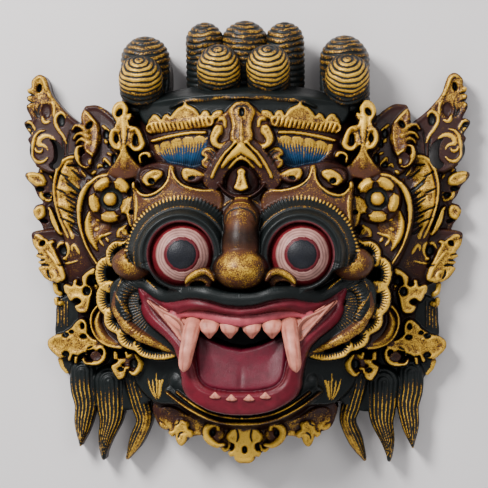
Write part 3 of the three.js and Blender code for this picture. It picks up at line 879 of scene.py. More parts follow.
    def crescent(self, board: Board) -> None:
        """Carves the crescents around the flower.

        Args:
            board: The board.
        """
        board.plate([(98, 50), (106, 47.6), (113, 41), (117.6, 34), (120.6, 22), (119.6, 9), (115, -4), (107, -18),
            (92, -18), (84, 0), (80, 20), (84, 44)], lambda x, y: 36 + 0.2 * np.clip(112 - x, 0, 24), BARE_MAROON,
            rim=0.0, dish=0)
        board.stroke([(98, 47.4), (103.4, 46.4), (108.4, 43), (112.8, 39), (115.8, 33.5), (117.6, 27), (118, 20),
            (117.4, 12), (115.3, 4), (112.3, -4), (108.3, -11), (104, -17.6)],
            lambda t: 0.9 + 1.5 * bell(t, 0.3, 0.2) + 0.4 * bell(t, 0.55, 0.2), 40, GOLD, 2.6)
        board.lines(GOLD, 1.6, (1.6, [(113.4, 44.4), (112.2, 40.4)]))
        board.plate([(112.4, 20), (108, 23), (103, 19.6), (97.6, 20), (94, 15), (95, 8.6), (99, 5), (103.6, 1),
            (107, -5), (110.4, 2), (112.6, 10)], lambda x, y: 39.5 + 0.1 * (112 - x) + 0.5 * np.sin(0.7 * (x + y)),
            UMBER, rim=0.75, body=0.5, shade=fade(0.5, 98, 108, True))
        board.stroke([(110.4, 21.4), (111.8, 15), (111.2, 8), (109, 1.5), (105, -6)], hump(0.6, 2.9), 39, GOLD, 2.2,
            detail=lambda t, u, s: -1.5 * np.clip(np.cos(2 * np.pi * 15 * t), 0, 1) * smooth(0.1, -0.5, u))
        board.lines(GOLD, 1.8, (0.9, [(95, 6.2), (99, 4.6), (102.6, 3), (103, 0.5), (100.4, -3)]),
            (0.9, [(98.6, 2.6), (96.6, -0.6)]), (0.8, [(101, 14.6), (105.6, 15.6)]),
            (1.2, [(103.6, 9.6), (106.6, 8)]))
        board.plate([(90.6, 3), (90, 8.5), (87, 10.6), (82.4, 12.6), (85, 8), (79, 3.4), (84, 1)], 43, GOLD,
            body=0.35)
        board.lines(GOLD, 1.2, (0.7, [(85.8, 9.4), (82.6, 6), (79.2, 3.8)]))
        # the lower crescent, beside the jaw
        board.plate([(103, -44), (108.4, -48), (111, -53.5), (111, -60), (108.6, -67), (103.4, -73), (96, -76.6),
            (86, -77), (84, -66), (94, -52)], lambda x, y: 33 + 0.35 * np.clip(104 - x, 0, 20), MAROON, rim=0,
            dish=0)
        board.stroke([(104, -45), (108.6, -50.4), (110, -57), (109, -63), (106, -68.5), (101, -72.8), (95, -75),
            (86, -75.8)], slope(1.2, 0.9), 37, GOLD, 1.8)
        board.stroke([(103.4, -50), (105.2, -58), (101.6, -67), (95.4, -71.6), (87, -73.2)], hump(1.2, 3.0), 36,
            Coat(Tint.BROWN, 0.6), 2.2, detail=lambda t, u, s: -0.5 * np.cos(2 * np.pi * 24 * t) * (u > -0.2),
            gilt=lambda t, u, s: 0.72 * smooth(-0.6, 0.3, u))

    def blossom(self, board: Board) -> None:
        """Carves the flower of five petals.

        Args:
            board: The board.
        """
        fx, fy = self.flower
        board.dome(fx, fy, 17.4, 17.4, 44.5, BARE_MAROON, 2.5)
        for radius, start, end, half in ((12.4, 102, 156, 4.2), (12.6, 30, 88, 3.9), (12.4, 174, 230, 4.1),
                (12.8, 246, 302, 3.9), (12.6, -44, 16, 3.7)):
            blunt = lambda t, h=half: h * np.clip(1 - np.abs(2 * t - 1) ** 7, 0.25,
                1) * (0.86 + 0.14 * np.sin(np.pi * t))
            board.stroke(arc(fx, fy, radius, start, end), blunt, 46.4, GOLD, 2.6,
                detail=lambda t, u, s: 0.5 * bell(u, 0.0, 0.3),
                gilt=lambda t, u, s: 0.75 + 0.25 * smooth(0.2, -0.6, u))
        board.dome(fx, fy, 8.4, 8.4, 42.5, BLACK, -1.5, mode=Mode.OVER)
        board.dome(fx + 0.6, fy, 4.9, 5, 49.5, GOLD, 5)
        board.plate([(80.6, 31.6), (78.6, 33), (76.4, 31.4), (77, 24), (77, 12), (80.4, 10), (83, 17), (82.4, 25)],
            50, GOLD, body=0.5, rim=0.8)
        board.pit(79.4, 20.6, 1.9, 1.5, 4)


@dataclass
class Crown:
    """The headdress above the brow, with its leaf on the middle line."""

    flute: float = 8.4

    def carve(self, board: Board) -> None:
        """Carves the crown from the hair dome down to the gem.

        Args:
            board: The board.
        """
        self.bands(board)
        self.panel(board)
        self.middle_leaf(board)
        self.arch(board)
        self.brow(board)
        self.gem(board)

    def bow(self, top: float, fall: float, start: float, end: float) -> Array:
        """Returns a path over the crown that falls towards the wing."""
        x = np.linspace(start, end, 24)
        return np.stack([x, top - fall * (x / 70) ** 2], 1)

    def bands(self, board: Board) -> None:
        """Carves the hair dome, the scalloped and toothed bands and the stripe.

        Args:
            board: The board.
        """
        board.plate([(-6, 150), (16, 148), (30, 150), (38, 146), (38, 134), (34, 118), (32, 106), (-6, 104)], 30,
            BLACK, rim=0.0, dish=0)
        board.plate([(56, 104), (54, 122), (58, 136), (66, 142), (80, 142), (86, 134), (86, 116), (84, 98),
            (70, 96)], 32, BLACK, rim=0.0, dish=0)
        board.plate([(-6, 113), (20, 112.6), (40, 110), (56, 107), (72, 103), (76, 92), (66, 80), (40, 74),
            (-6, 74)],
            lambda x, y: 57 + 3 * smooth(96, 104, y) - 22 * smooth(103, 113, y + 0.0012 * x * x) - 0.0035 * x * x,
            BLACK, rim=0.0, dish=0)
        streak = curve([(-2, 101), (8, 100.8), (16, 101.6), (25, 100.4), (33, 99.8), (42, 98.6), (51, 95)])
        board.stroke(streak, hump(0.6, 1.5), slope(61.4, 51.5), BLACK, 0.6,
            gilt=lambda t, u, s: (0.2 + 0.24 * np.cos(9 * t) ** 2) * smooth(1.0, 0.7, t))
        board.plate([(66, 82), (65.6, 89), (62.6, 90.4), (59.6, 88.4), (58, 86.6), (56.6, 89.4), (53.6, 90.6),
            (51.4, 88.8), (50.2, 90.4), (46.6, 94.2), (43, 96), (40.6, 98.2), (38.4, 96.2), (34.4, 94.4), (31, 91),
            (29.8, 89.2), (28.4, 91.6), (25.6, 92.4), (23.4, 90.8), (22.2, 88.6), (20.4, 91), (17, 92.2),
            (13.6, 91.6), (15, 88), (20, 85), (27, 84)], lambda x, y: 61.5 - 0.0034 * x * x, GOLD, body=0.66,
            dish=0.4, shade=lambda x, y: 0.55 + 0.45 * smooth(85, 91, y + 0.0009 * x * x))

        def cuts(t: Array, u: Array, s: Array) -> Array:
            """Returns comma-shaped cuts that lean over."""
            return -3.6 * np.clip(np.cos(2 * np.pi * (14 * t - 0.34 * u)), 0,
                1) ** 1.3 * smooth(1.0, 0.72, np.abs(u + 0.1))

        board.stroke(self.bow(84.8, 5, 23.5, 66), 3.9, slope(60.4, 47), GOLD, 0.9, detail=cuts,
            gilt=lambda t, u, s: 0.9 - 0.35 * smooth(0.2, -0.9, u))
        board.stroke([(65, 71.2), (55, 73.6), (45, 75.5), (36, 76.6), (26, 76.6)], slope(1.2, 0.9), slope(48, 58.5),
            GOLD, 1.6)

    def panel(self, board: Board) -> None:
        """Carves the fluted panel, gold scallops that run down into blue, with painted shade in its grooves and at
        its foot.

        Args:
            board: The board.
        """
        part, x, y = board.window(20, 66, 48, 78)
        outline = ring([(63, 67), (58.6, 61), (52, 54.6), (46, 52), (38, 51.6), (30.6, 53.6), (26.6, 58),
            (25.6, 66), (25.6, 78), (44, 78), (63, 78)])
        spread = (x - 43) / (0.62 + 0.38 * smooth(50, 70, y))
        lobe = (spread + 42) / self.flute
        edge = 74.6 - 5.4 * ((x - 26) / 36) ** 2 - 2.6 * (1 - scallop(lobe))
        inside = np.minimum(inside_of(outline, x, y), edge - y)
        fall = np.clip((edge - y) / 20, 0, 1)
        fine = np.cos(2 * np.pi * lobe * 4)
        height = 58 - 0.0036 * x * x - 6 * fall + 1.9 * scallop(lobe) * (1 - fall)
        height += 0.8 * fine * smooth(0.1, 0.3, fall)
        gold = smooth(0.36, 0.22, fall) * (0.3 + 0.7 * smooth(0.1, 0.45, scallop(lobe)))
        gold = np.maximum(gold, smooth(-0.1, 0.5, fine) * smooth(0.72, 0.3, fall) * 0.9)
        board.lay(part, inside, height, Coat(Tint.BLUE), Mode.OVER, gilt=gold)
        # Painted shade: the paint darkens towards the foot of the fall and in the grooves between the fine ribs.
        dark = 1 - 0.8 * smooth(0.6, 1.0, fall) * (1 - 0.6 * smooth(0, 0.6, fine)) - 0.35 * smooth(0.2, -0.6, fine)
        board.paint[part][...] *= np.where(inside > 0, np.clip(dark, 0.1, 1), 1)[..., None]

    def middle_leaf(self, board: Board) -> None:
        """Carves the leaf on the middle line and the scrolls at its sides.

        Args:
            board: The board.
        """
        board.plate([(-5, 97), (6, 96), (12, 91), (17, 87), (20.6, 81), (22.4, 74), (21.4, 67.6), (15, 64.4),
            (9, 62), (-5, 62)], lambda x, y: 62 - 0.02 * (x - 8) ** 2 - 0.1 * (y - 76), UMBER, rim=0.5, body=0.2)
        board.plate([(-5, 99), (0, 98.6), (4.6, 97.8), (8.2, 94.6), (9.4, 91.6), (9, 88.6), (7.8, 85), (7, 80.6),
            (8, 76.6), (8.4, 73), (6.6, 70), (3, 67.4), (0, 66), (-5, 64)],
            lambda x, y: 71.5 - 0.26 * (y - 68) - 0.05 * np.abs(x) ** 1.6, GOLD, body=0.62,
            shade=lambda x, y: 0.66 + 0.34 * smooth(5, 1, np.abs(x)) * smooth(90, 80, y))
        board.bead([(0, 67), (0, 76), (0, 86)], slope(2.0, 0.7), 1.3)
        board.lines(BLACK, -1.2, (0.5, [(-2, 94.6), (2.4, 94.8), (5.4, 92.6)]))
        board.plate([(16.6, 84.6), (16.2, 87), (13.6, 87.6), (11.4, 86), (10.6, 83), (11, 80), (13, 80.6),
            (13.2, 83.6), (14.4, 84.8)], 63, GOLD, rim=0.9, body=0.9)
        board.plate([(13.6, 80.8), (16, 82), (18.8, 81.6), (21, 78), (22.9, 73.4), (22.2, 69), (19.4, 65.8),
            (15, 64.2), (11, 64.6), (9.2, 67), (10, 69.4), (12, 70), (13.6, 68.6), (16, 69), (16.8, 71.4),
            (15.2, 74), (13.4, 76.6)], domed(66, 0.05, 18), GOLD, rim=0.95, body=0.8)
        board.pit(0, 90.6, 3.2, 2, 4, 90)

    def arch(self, board: Board) -> None:
        """Carves the pointed arch over the gem and the small scroll beside it.

        Args:
            board: The board.
        """
        board.stroke([(0, 68), (8, 61.6), (14, 54), (20, 44)], 8, slope(67, 62), MAROON, 1)
        board.stroke([(3.6, 69.6), (8, 65), (12, 61), (15.8, 55.4), (18.6, 50.4), (21, 45)], 1.0, slope(71, 64),
            GOLD, 1.6)
        board.stroke([(0, 65.2), (5, 61.2), (9, 57.8), (13.4, 52.4)], slope(3.6, 1.1), slope(73, 66.5), GOLD, 1.8)
        board.stroke([(0, 58.6), (4, 56.4), (8.4, 51.8)], slope(2.0, 0.7), slope(69.5, 65), GOLD, 1.4,
            gilt=lambda t, u, s: np.full_like(t, 0.8))
        board.plate([(16.4, 59), (18, 63.6), (22, 66.2), (26.4, 66), (29, 63.4), (28.8, 60.4), (26.4, 59.2),
            (29, 57.4), (29, 54), (26.6, 51.4), (22.6, 49.6), (20, 51.6)], domed(60, 0.03, 22), UMBER, rim=0.95,
            body=0.3)
        board.lines(BLACK, -1.5, (0.5, [(25.6, 62.6), (22.4, 61.6), (20.4, 58)]), (0.5, [(26, 57.2), (23, 57),
            (21.4, 53.6)]), (0.5, [(22.4, 64.6), (19.6, 62), (18.4, 58.6)]))

    def brow(self, board: Board) -> None:
        """Carves the brow plate, its border and the almond leaves on it.

        Args:
            board: The board.
        """
        board.plate([(-5, 60), (14, 56), (26, 50), (44, 54), (62, 56), (76, 50), (78, 30), (60, 28), (8, 24),
            (-5, 24)], lambda x, y: 58 - 14 * smooth(54, 78, x), MAROON, rim=0.0, body=0.1, dish=0)
        for x, y, rx, ry, turn in ((64, 44.4, 9.6, 7.2, 18), (34.6, 45, 10.8, 6.4, -12)):
            board.dome(x, y, rx, ry, 57.5, MAROON, -0.5, turn)
        board.plate([(78, 40.6), (76.2, 42), (74.6, 38.8), (72, 35.2), (68.6, 33.8), (63.6, 34.5), (58.6, 37.2),
            (54.8, 40.8), (52.6, 45), (51.6, 53), (48.2, 53), (46.8, 47), (44.4, 43), (40, 40), (34, 38),
            (27, 36.8), (19, 36.6), (14, 33), (14, 22), (24, 14), (60, 18), (68, 2), (71, -6), (77, -5), (77.6, 10),
            (77.2, 25), (78, 35)], lambda x, y: 66 - 0.005 * (x - 40) ** 2 - 0.12 * np.clip(y - 33, 0, 30), UMBER,
            rim=0.6, body=0.24, shade=fade(0.4, 24, 44, True))
        board.lines(GOLD, 1.2, (1.0, [(76.4, 41), (75, 37.6), (72.2, 34.2), (68.6, 32.8), (63.6, 33.4), (58.6, 36),
            (54.4, 40), (52.2, 44.6), (50.4, 51.6)]), (0.8, [(49.4, 51), (47.4, 46), (44.6, 42), (40, 39), (34, 37),
            (27, 35.8), (20, 35.8)]), (0.8, [(75, 32), (74.4, 26), (74.8, 20), (75.4, 13), (75, 4)]))
        board.lines(BLACK, -1.4, (0.55, [(71.6, 31.4), (67.6, 30.6), (63, 31.2), (58.6, 33.6), (55.4, 36.6)]), (0.5,
            [(47, 43.6), (44, 40), (40.6, 37.8)]))
        board.dome(76.4, 39.6, 1.9, 3, 64, GOLD, 3)
        board.plate([(70.4, 44.4), (67.6, 48.2), (62.6, 50.6), (58.2, 50.4), (55.6, 48.4), (56.4, 45.4),
            (59.6, 42.8), (62.6, 40.2), (66.6, 38.6), (69.8, 41)], domed(64, 0.02, 62), GOLD, body=0.85)
        board.pit(63.8, 42.4, 2.5, 2.1, 5, 10)
        board.plate([(42.4, 49.8), (39.8, 51.8), (35.4, 51.4), (30, 49.4), (25.8, 46.2), (28.4, 42.6), (33.4, 40.6),
            (38.4, 41.2), (42, 45)], domed(65, 0.02, 35), GOLD, body=0.85,
            shade=lambda x, y: 0.1 + 0.9 * smooth(43, 47.4, y + 0.22 * (x - 34)))
        board.pit(35.4, 44.6, 2.6, 1.3, 3, -12)

    def gem(self, board: Board) -> None:
        """Carves the dark almond on the middle line with its gold drop.

        Args:
            board: The board.
        """
        board.plate([(-6, 54), (0, 54), (7, 51), (12, 45), (12.6, 39), (9, 34), (0, 31.6), (-6, 31.6)],
            lambda x, y: 64 - 0.05 * x * x, Coat(Tint.MAROON, 0.05), rim=0.12, mode=Mode.OVER)
        board.plate([(-4, 50.6), (2.6, 50.4), (3, 46), (4.2, 41), (5.6, 37.4), (3, 35.4), (-4, 35)],
            tilted(72, -0.09, 36), GOLD, body=0.8)
        board.stroke([(0, 31.2), (6, 31.6), (12, 35.4), (16, 40)], slope(1.6, 0.8), 66, Coat(Tint.MAROON, 0.08),
            1.6)


@dataclass
class Face:
    """Lids, brow, nose, cheeks and the dark band around the mouth."""

    eye: tuple = (41.8, -9)
    lid_radius: float = 22.0
    line_radius: float = 33.4
    brow_radius: float = 39.6
    teeth_per_turn: int = 92
    valley: float = 12

    def carve(self, board: Board) -> None:
        """Carves the face.

        Args:
            board: The board.
        """
        board.tint([(-3, -20), (60, -22), (84, -18), (99, -26), (99, -46), (90, -62), (76, -74), (50, -84),
            (60, -96), (46, -103), (38, -110), (20, -116), (-3, -118)], BLACK)
        self.cheek(board)
        self.socket(board)
        self.nose(board)
        self.comb(board)
        self.whiskers(board)

    def socket(self, board: Board) -> None:
        """Carves the lids, the dark brow and its comb of teeth.

        Args:
            board: The board.
        """
        ex, ey = self.eye
        reach = self.brow_radius + 3
        part, x, y = board.window(ex - reach, ex + reach, ey - reach, ey + reach)
        r = np.hypot(x - ex, y - ey)
        angle = np.degrees(np.arctan2(y - ey, x - ex))
        saw = 2 * np.abs((angle / 360 * self.teeth_per_turn) % 1 - 0.5)
        upper = smooth(-30, -8, np.where(angle < -90, -180 - angle, angle))
        gold_side = smooth(-20, 5, angle) * smooth(112, 88, angle)
        outer = self.line_radius - 1 + (self.brow_radius - self.line_radius + 1) * upper
        outer = outer - 7 * smooth(6, -22, angle) * smooth(-110, -80, angle)
        rim = outer + 1.9 * saw * upper
        band = smooth(self.line_radius + 0.5, outer, r)
        height = 77 - 11 * smooth(26, self.brow_radius + 1, r) - 5 * smooth(0, -60, y + 14)
        height += 3.4 * bell(r, 27.6, 2.6) - 1.3 * bell(r, 31.4, 0.8) * upper
        height += 1.4 * bell(r, 23.6, 1.2)
        height += 1.0 * bell(r, self.line_radius, 0.7) * (0.4 + 0.6 * upper)
        height -= 1.5 * band * upper * (1 - saw)
        gilt = 0.34 * bell(r, self.line_radius, 0.5) * upper
        gilt += 0.95 * gold_side * smooth(0.72, 1.0, band) * smooth(0.35, 0.7, saw)
        board.lay(part, rim - r, height, BLACK, Mode.OVER, gilt=gilt)
        board.lay(part, self.lid_radius - r, np.full(r.shape, 66.0), Coat(Tint.RED), Mode.OVER)
        pink = smooth(1.1, 0.3, np.abs(r - self.lid_radius - 0.8)) * smooth(120, 60, np.abs(angle - 70))
        board.paint[part][...] += (pink * 0.4)[..., None] * (np.array(Tint.GUM.value) - board.paint[part])
        board.height[part] += 0.6 * pink
        board.dome(22, 19.5, 4.4, 6.2, 66, MAROON, 5)
        board.lines(BLACK, -1.0, (0.8, [(26, -32), (34, -36.4), (44, -38), (54, -36.6)]))

    def nose(self, board: Board) -> None:
        """Carves the bridge, the ball of the nose and its wings, with painted shade in the waist above the ball,
        below it and on its sides.

        Args:
            board: The board.
        """
        part, x, y = board.window(-1, 27, -44, 34)
        forms = ((0, -19.5, 19.4, 14.8, 24, 77), (0, -3, 13, 21, 16, 77), (0, 15.5, 12.4, 12.4, 13, 72),
            (0, 4, 12.6, 28, 17, 66),)
        height = np.zeros(x.shape)
        for form in forms:
            height = self.joined(height, self.egg(x, y, form[:5]) + form[5] * (self.egg(x, y, form[:5]) > 0))
        ball = smooth(-3, -12, y) * smooth(-36, -20, y)
        bulb = smooth(8, 18, y) * smooth(30, 24, y)
        shade = 0.05 + 0.50 * ball + 0.20 * bulb
        board.lay(part, height - 66, np.minimum(height, 103.9), BARE_UMBER, Mode.RAISE,
            gilt=shade * smooth(20, 8, x))
        # Painted shade: the paint darkens in the waist between bulb and ball, under the ball and on the sides of
        # the nose.
        dark = smooth(9, 2, np.abs(y - 3)) + smooth(-28, -34, y) + smooth(9, 16, x)
        board.paint[part][...] *= (1 - 0.75 * np.clip(dark, 0, 1) * (height > 66))[..., None]
        board.lines(BLACK, -1.3, (0.6, [(10.8, 12.6), (9.6, 18), (5.6, 21.8), (0, 23.2), (-2, 23.2)]), (0.7,
            [(17, -31.5), (10, -33.6), (0, -34.4), (-2, -34.4)]))
        board.lines(Coat(Tint.UMBER, 0.75), 1.0, (0.7, arc(0, 13, 14.4, 24, 96)), (0.6, arc(0, 12, 18.4, 40, 96)))
        board.dome(29.4, -27, 10.4, 8, 81, BARE_UMBER, 4, gilt=lambda r: 0.26 * smooth(0.95, 0.4, r))
        board.stroke([(38, -28.8), (35.6, -25.6), (32, -23), (28, -21), (24, -20.8), (20.6, -23), (18, -27)],
            lambda t: 1.0 + 1.9 * np.sin(np.pi * np.clip(t * 0.95, 0, 1)), slope(81, 87), BARE_UMBER, 2.4,
            gilt=lambda t, u, s: 0.34 + 0.4 * (1 - t))
        board.pit(29.6, -30.6, 5.6, 3.0, 8)

    def joined(self, a: Array, b: Array) -> Array:
        """Returns the higher of two heights, with a soft valley where both are above nothing."""
        return np.where((a > 0) & (b > 0), blended(a, b, self.valley), np.maximum(a, b))

    def egg(self, x: Array, y: Array, form: tuple) -> Array:
        """Returns the height of one rounded form over its middle plane."""
        fx, fy, rx, ry, rz = form
        return rz * np.sqrt(np.clip(1 - ((x - fx) / rx) ** 2 - ((y - fy) / ry) ** 2, 0, 1))

    def cheek(self, board: Board) -> None:
        """Carves the cheeks and the bronze roll beside the mouth.

        Args:
            board: The board.
        """
        board.dome(77.5, -15.5, 15, 12, 71, BARE_UMBER, 13, gilt=lambda r: 0.5 * smooth(1.0, 0.3, r))
        board.plate([(66, -28), (80, -24), (91, -27), (95, -40), (91, -52), (82, -62), (70, -70), (58, -76),
            (44, -79), (44, -70), (56, -62), (66, -52), (72, -42)], lambda x, y: 58 - 0.1 * np.clip(x - 72, 0, 30),
            BLACK, rim=0.0, dish=0)
        board.stroke([(90, -36), (89.6, -47), (82, -59), (68.6, -68.6), (47, -78.6)], hump(1.4, 4.6), hump(54, 58),
            BARE_UMBER, 3.4, gilt=lambda t, u, s: 0.5 * smooth(-0.95, -0.2, u) * smooth(0, 0.3, t))

    def comb(self, board: Board) -> None:
        """Carves the lobes that frame the cheek, gold on their outer edge and cut across on their inner side.

        Args:
            board: The board.
        """
        lobes = (([(74.4, -1.6), (79, 0.6), (84.4, -2.4)], 2.4), ([(84.8, -3), (90.4, -3), (94.2, -8),
            (92.6, -14.4)], 3.6), ([(92.8, -14.2), (99, -16), (101, -22.4), (99, -29.4), (93.2, -32.2)], 4.6),
            ([(92.8, -32), (98.6, -34), (100.4, -40.4), (97.8, -47.2), (91.2, -49.8)], 4.6), ([(89.2, -49.4),
            (94.6, -52), (94.2, -58), (88.8, -61.8), (82.6, -62)], 4.4), ([(81.6, -61.6), (85.8, -66.4),
            (82.4, -72), (74.6, -74.4)], 4.0), ([(74.6, -73), (71.6, -78), (64, -80.4), (55, -80.6), (45.6, -78)],
            3.4),)
        for points, half in lobes:
            path = curve(points)
            length = float(np.hypot(*np.diff(path, axis=0).T).sum())
            count = max(4, round(length / 1.9))
            base = 51 + 0.16 * (100 - points[1][0])

            def cut(t: Array, u: Array, s: Array, n: int = count) -> Array:
                """Returns cuts across the inner side."""
                comb = np.clip(np.cos(2 * np.pi * n * t), 0, 1) * smooth(0.6, 0.2, u)
                return -1.8 * comb - 1.5 * smooth(0.5, -0.8, u)

            board.stroke(path, half, base, BLACK, 1.6, detail=cut, gilt=lambda t, u, s, n=count: smooth(-0.35, 0.25,
                u - 0.4 * np.cos(2 * np.pi * n * t)))

    def whiskers(self, board: Board) -> None:
        """Carves the dark band under the nose and the fine cuts at the corners of the mouth.

        Args:
            board: The board.
        """
        band = curve([(-2, -40.5), (12, -39.5), (26, -36), (42, -37), (54, -38.4), (64, -34), (71, -30),
            (78.6, -30.6), (84, -36), (85.6, -45), (82, -54)])
        board.stroke(band, lambda t: 5.4 - 1.4 * smooth(0.6, 1, t), lambda t: 86 - 27 * smooth(0.2, 0.68, t), BLACK,
            2.2,
            detail=lambda t, u, s: -0.8 * np.clip(np.cos(2 * np.pi * 70 * t), 0, 1) ** 2 * smooth(0.25, 0.6, u))
        part, x, y = board.window(62, 96, -76, -16)
        r, turn = np.hypot(x - 56, y + 42), np.degrees(np.arctan2(y + 42, x - 56))
        inside = np.minimum(r - 12, np.minimum(31 - r, np.minimum(34 - turn, turn + 62) / 2))
        ridge = np.cos(2 * np.pi * turn / 5)
        board.height[part] += np.where(inside > 0, 0.8 * ridge * smooth(0, 2.5, inside), 0)
        bare = board.gilt[part] < 0.03
        board.gilt[part][...] += np.where(bare & (inside > 0), 0.34 * smooth(0.3, 0.9, ridge)
            * smooth(1, 4, inside), 0)
        board.lines(Coat(Tint.BLACK, 0.5), 0.9, (0.6, [(84, -24), (88, -32), (89.6, -37)]), (0.6,
            [(89.6, -37), (84, -46), (77, -54)]), (0.6, [(71.6, -24.6), (66, -28.4), (60, -33.6)]),
            (0.6, [(86, -41), (81, -48)]))


@dataclass
class Mouth:
    """The open mouth: lips, gum, dark recess, tongue and the blades of the tusks."""

    lip: float = 5.5

    def carve(self, board: Board) -> None:
        """Carves the mouth.

        Args:
            board: The board.
        """
        red = Coat(Tint.LIP)
        lips = self.whole([(0, -45.3), (10, -44.4), (20, -41.6), (29, -40), (36, -39.8), (42, -41), (49, -42.4),
            (56, -42.2), (63, -39), (73, -32.6), (71.6, -42), (71, -49), (67.6, -56), (61, -62.4), (53, -68.6),
            (47.6, -75), (44.6, -84), (42.6, -94), (42, -101), (39, -107.6), (34.6, -111.6), (28, -115.4),
            (20, -118.8), (10, -120.8), (0, -121.4)])
        part, x, y = board.window(-1, 78, -130, -28)
        inside = inside_of(lips, x, y)
        arch = 81 - 23 * smooth(22, 74, np.abs(x)) - 4 * smooth(-70, -124, y)
        hole = inside_of(self.whole([(0, -52), (10, -50.4), (20, -48.2), (30, -46.8), (38, -46.8), (46, -48.4),
            (54, -46.4), (61, -43), (67, -39.4), (66, -45), (61, -52), (54, -58.6), (46, -66.4), (40.4, -73),
            (35.2, -82), (33, -92), (30, -98.6), (24.4, -102.8), (14, -105), (0, -105.6)]), x, y)
        full = np.sqrt(np.clip(1 - ((np.minimum(inside, self.lip) - self.lip) / self.lip) ** 2, 0,
            1)) - 0.45 * smooth(-2.6, 0, hole)
        board.lay(part, inside, arch + 3.4 * full, red, Mode.OVER)
        floor = MOUTH_FLOOR + 8 + 27 * smooth(8, 0, hole) + 14 * smooth(-82, -100, y)
        floor = np.minimum(floor, arch + 1.4)
        board.lay(part, hole, floor, Coat(Tint.CRIMSON), Mode.OVER)
        recess = inside_of(ring([(-4, -55), (24, -56), (33, -60), (29, -68), (20, -72), (10, -76), (-4, -78)]), x,
            y)
        board.lay(part, recess, np.full(x.shape, MOUTH_FLOOR + 1.0), BLACK, Mode.OVER)
        self.tongue(board)
        board.stroke([(-2, -55.4), (10, -54.2), (20, -52), (30, -50.2), (38, -50), (47, -51)], slope(5.0, 3.6),
            slope(79, 70), Coat(Tint.GUM), 2.4)
        self.tusk(board)

    def whole(self, half: Sequence[Point]) -> Array:
        """Returns the smooth outline of a form that is the same on both sides of the middle line."""
        path = curve(half, 5)
        return np.vstack([path, path[::-1] * (-1, 1)])

    def tongue(self, board: Board) -> None:
        """Carves the hollowed tongue with its raised edge, darker at its back end as painted shade.

        Args:
            board: The board.
        """
        part, x, y = board.window(-1, 36, -112, -60)
        inside = inside_of(self.whole([(0, -75), (10, -73), (20, -69), (30.4, -64.6), (32, -74), (31.4, -88),
            (28.8, -96.6), (22.4, -102), (11, -104.4), (0, -105)]), x, y)
        height = 69 + 9 * smooth(-62, -104, y) - 1.4 * smooth(0, 14, inside) - 1.6 * smooth(2.5, 0, inside)
        height -= 0.5 * bell(x, 0, 1.8) * smooth(-82, -98, y)
        board.lay(part, inside, height, Coat(Tint.TONGUE), Mode.OVER)
        # Painted shade: the back of the tongue, deep in the mouth behind the teeth, is painted darker.
        shade = 0.35 + 0.65 * smooth(-68, -82, y)
        board.paint[part][...] *= np.where(inside > 0, shade, 1)[..., None]

    def tusk(self, board: Board) -> None:
        """Carves the blade that runs from the fang to the corner of the mouth.

        Args:
            board: The board.
        """
        part, x, y = board.window(34, 70, -74, -38)
        inside = inside_of(ring([(65.4, -41.6), (57, -46.4), (49, -50.6), (43, -53.6), (39, -58), (38, -66),
            (40.6, -70.6), (46, -64.4), (53, -56.4), (60, -48.8)], 3), x, y)
        height = 75 - 0.34 * (x - 40) - 2.2 * smooth(0.5, 4.5, inside) + 0.9 * bell(inside, 0.9, 0.7)
        board.lay(part, inside, height, Coat(Tint.TOOTH), Mode.RAISE)
        dull = smooth(1.2, 3.5, inside)
        board.paint[part][...] *= np.where(inside > 0, 0.8 - 0.4 * dull, 1)[..., None]


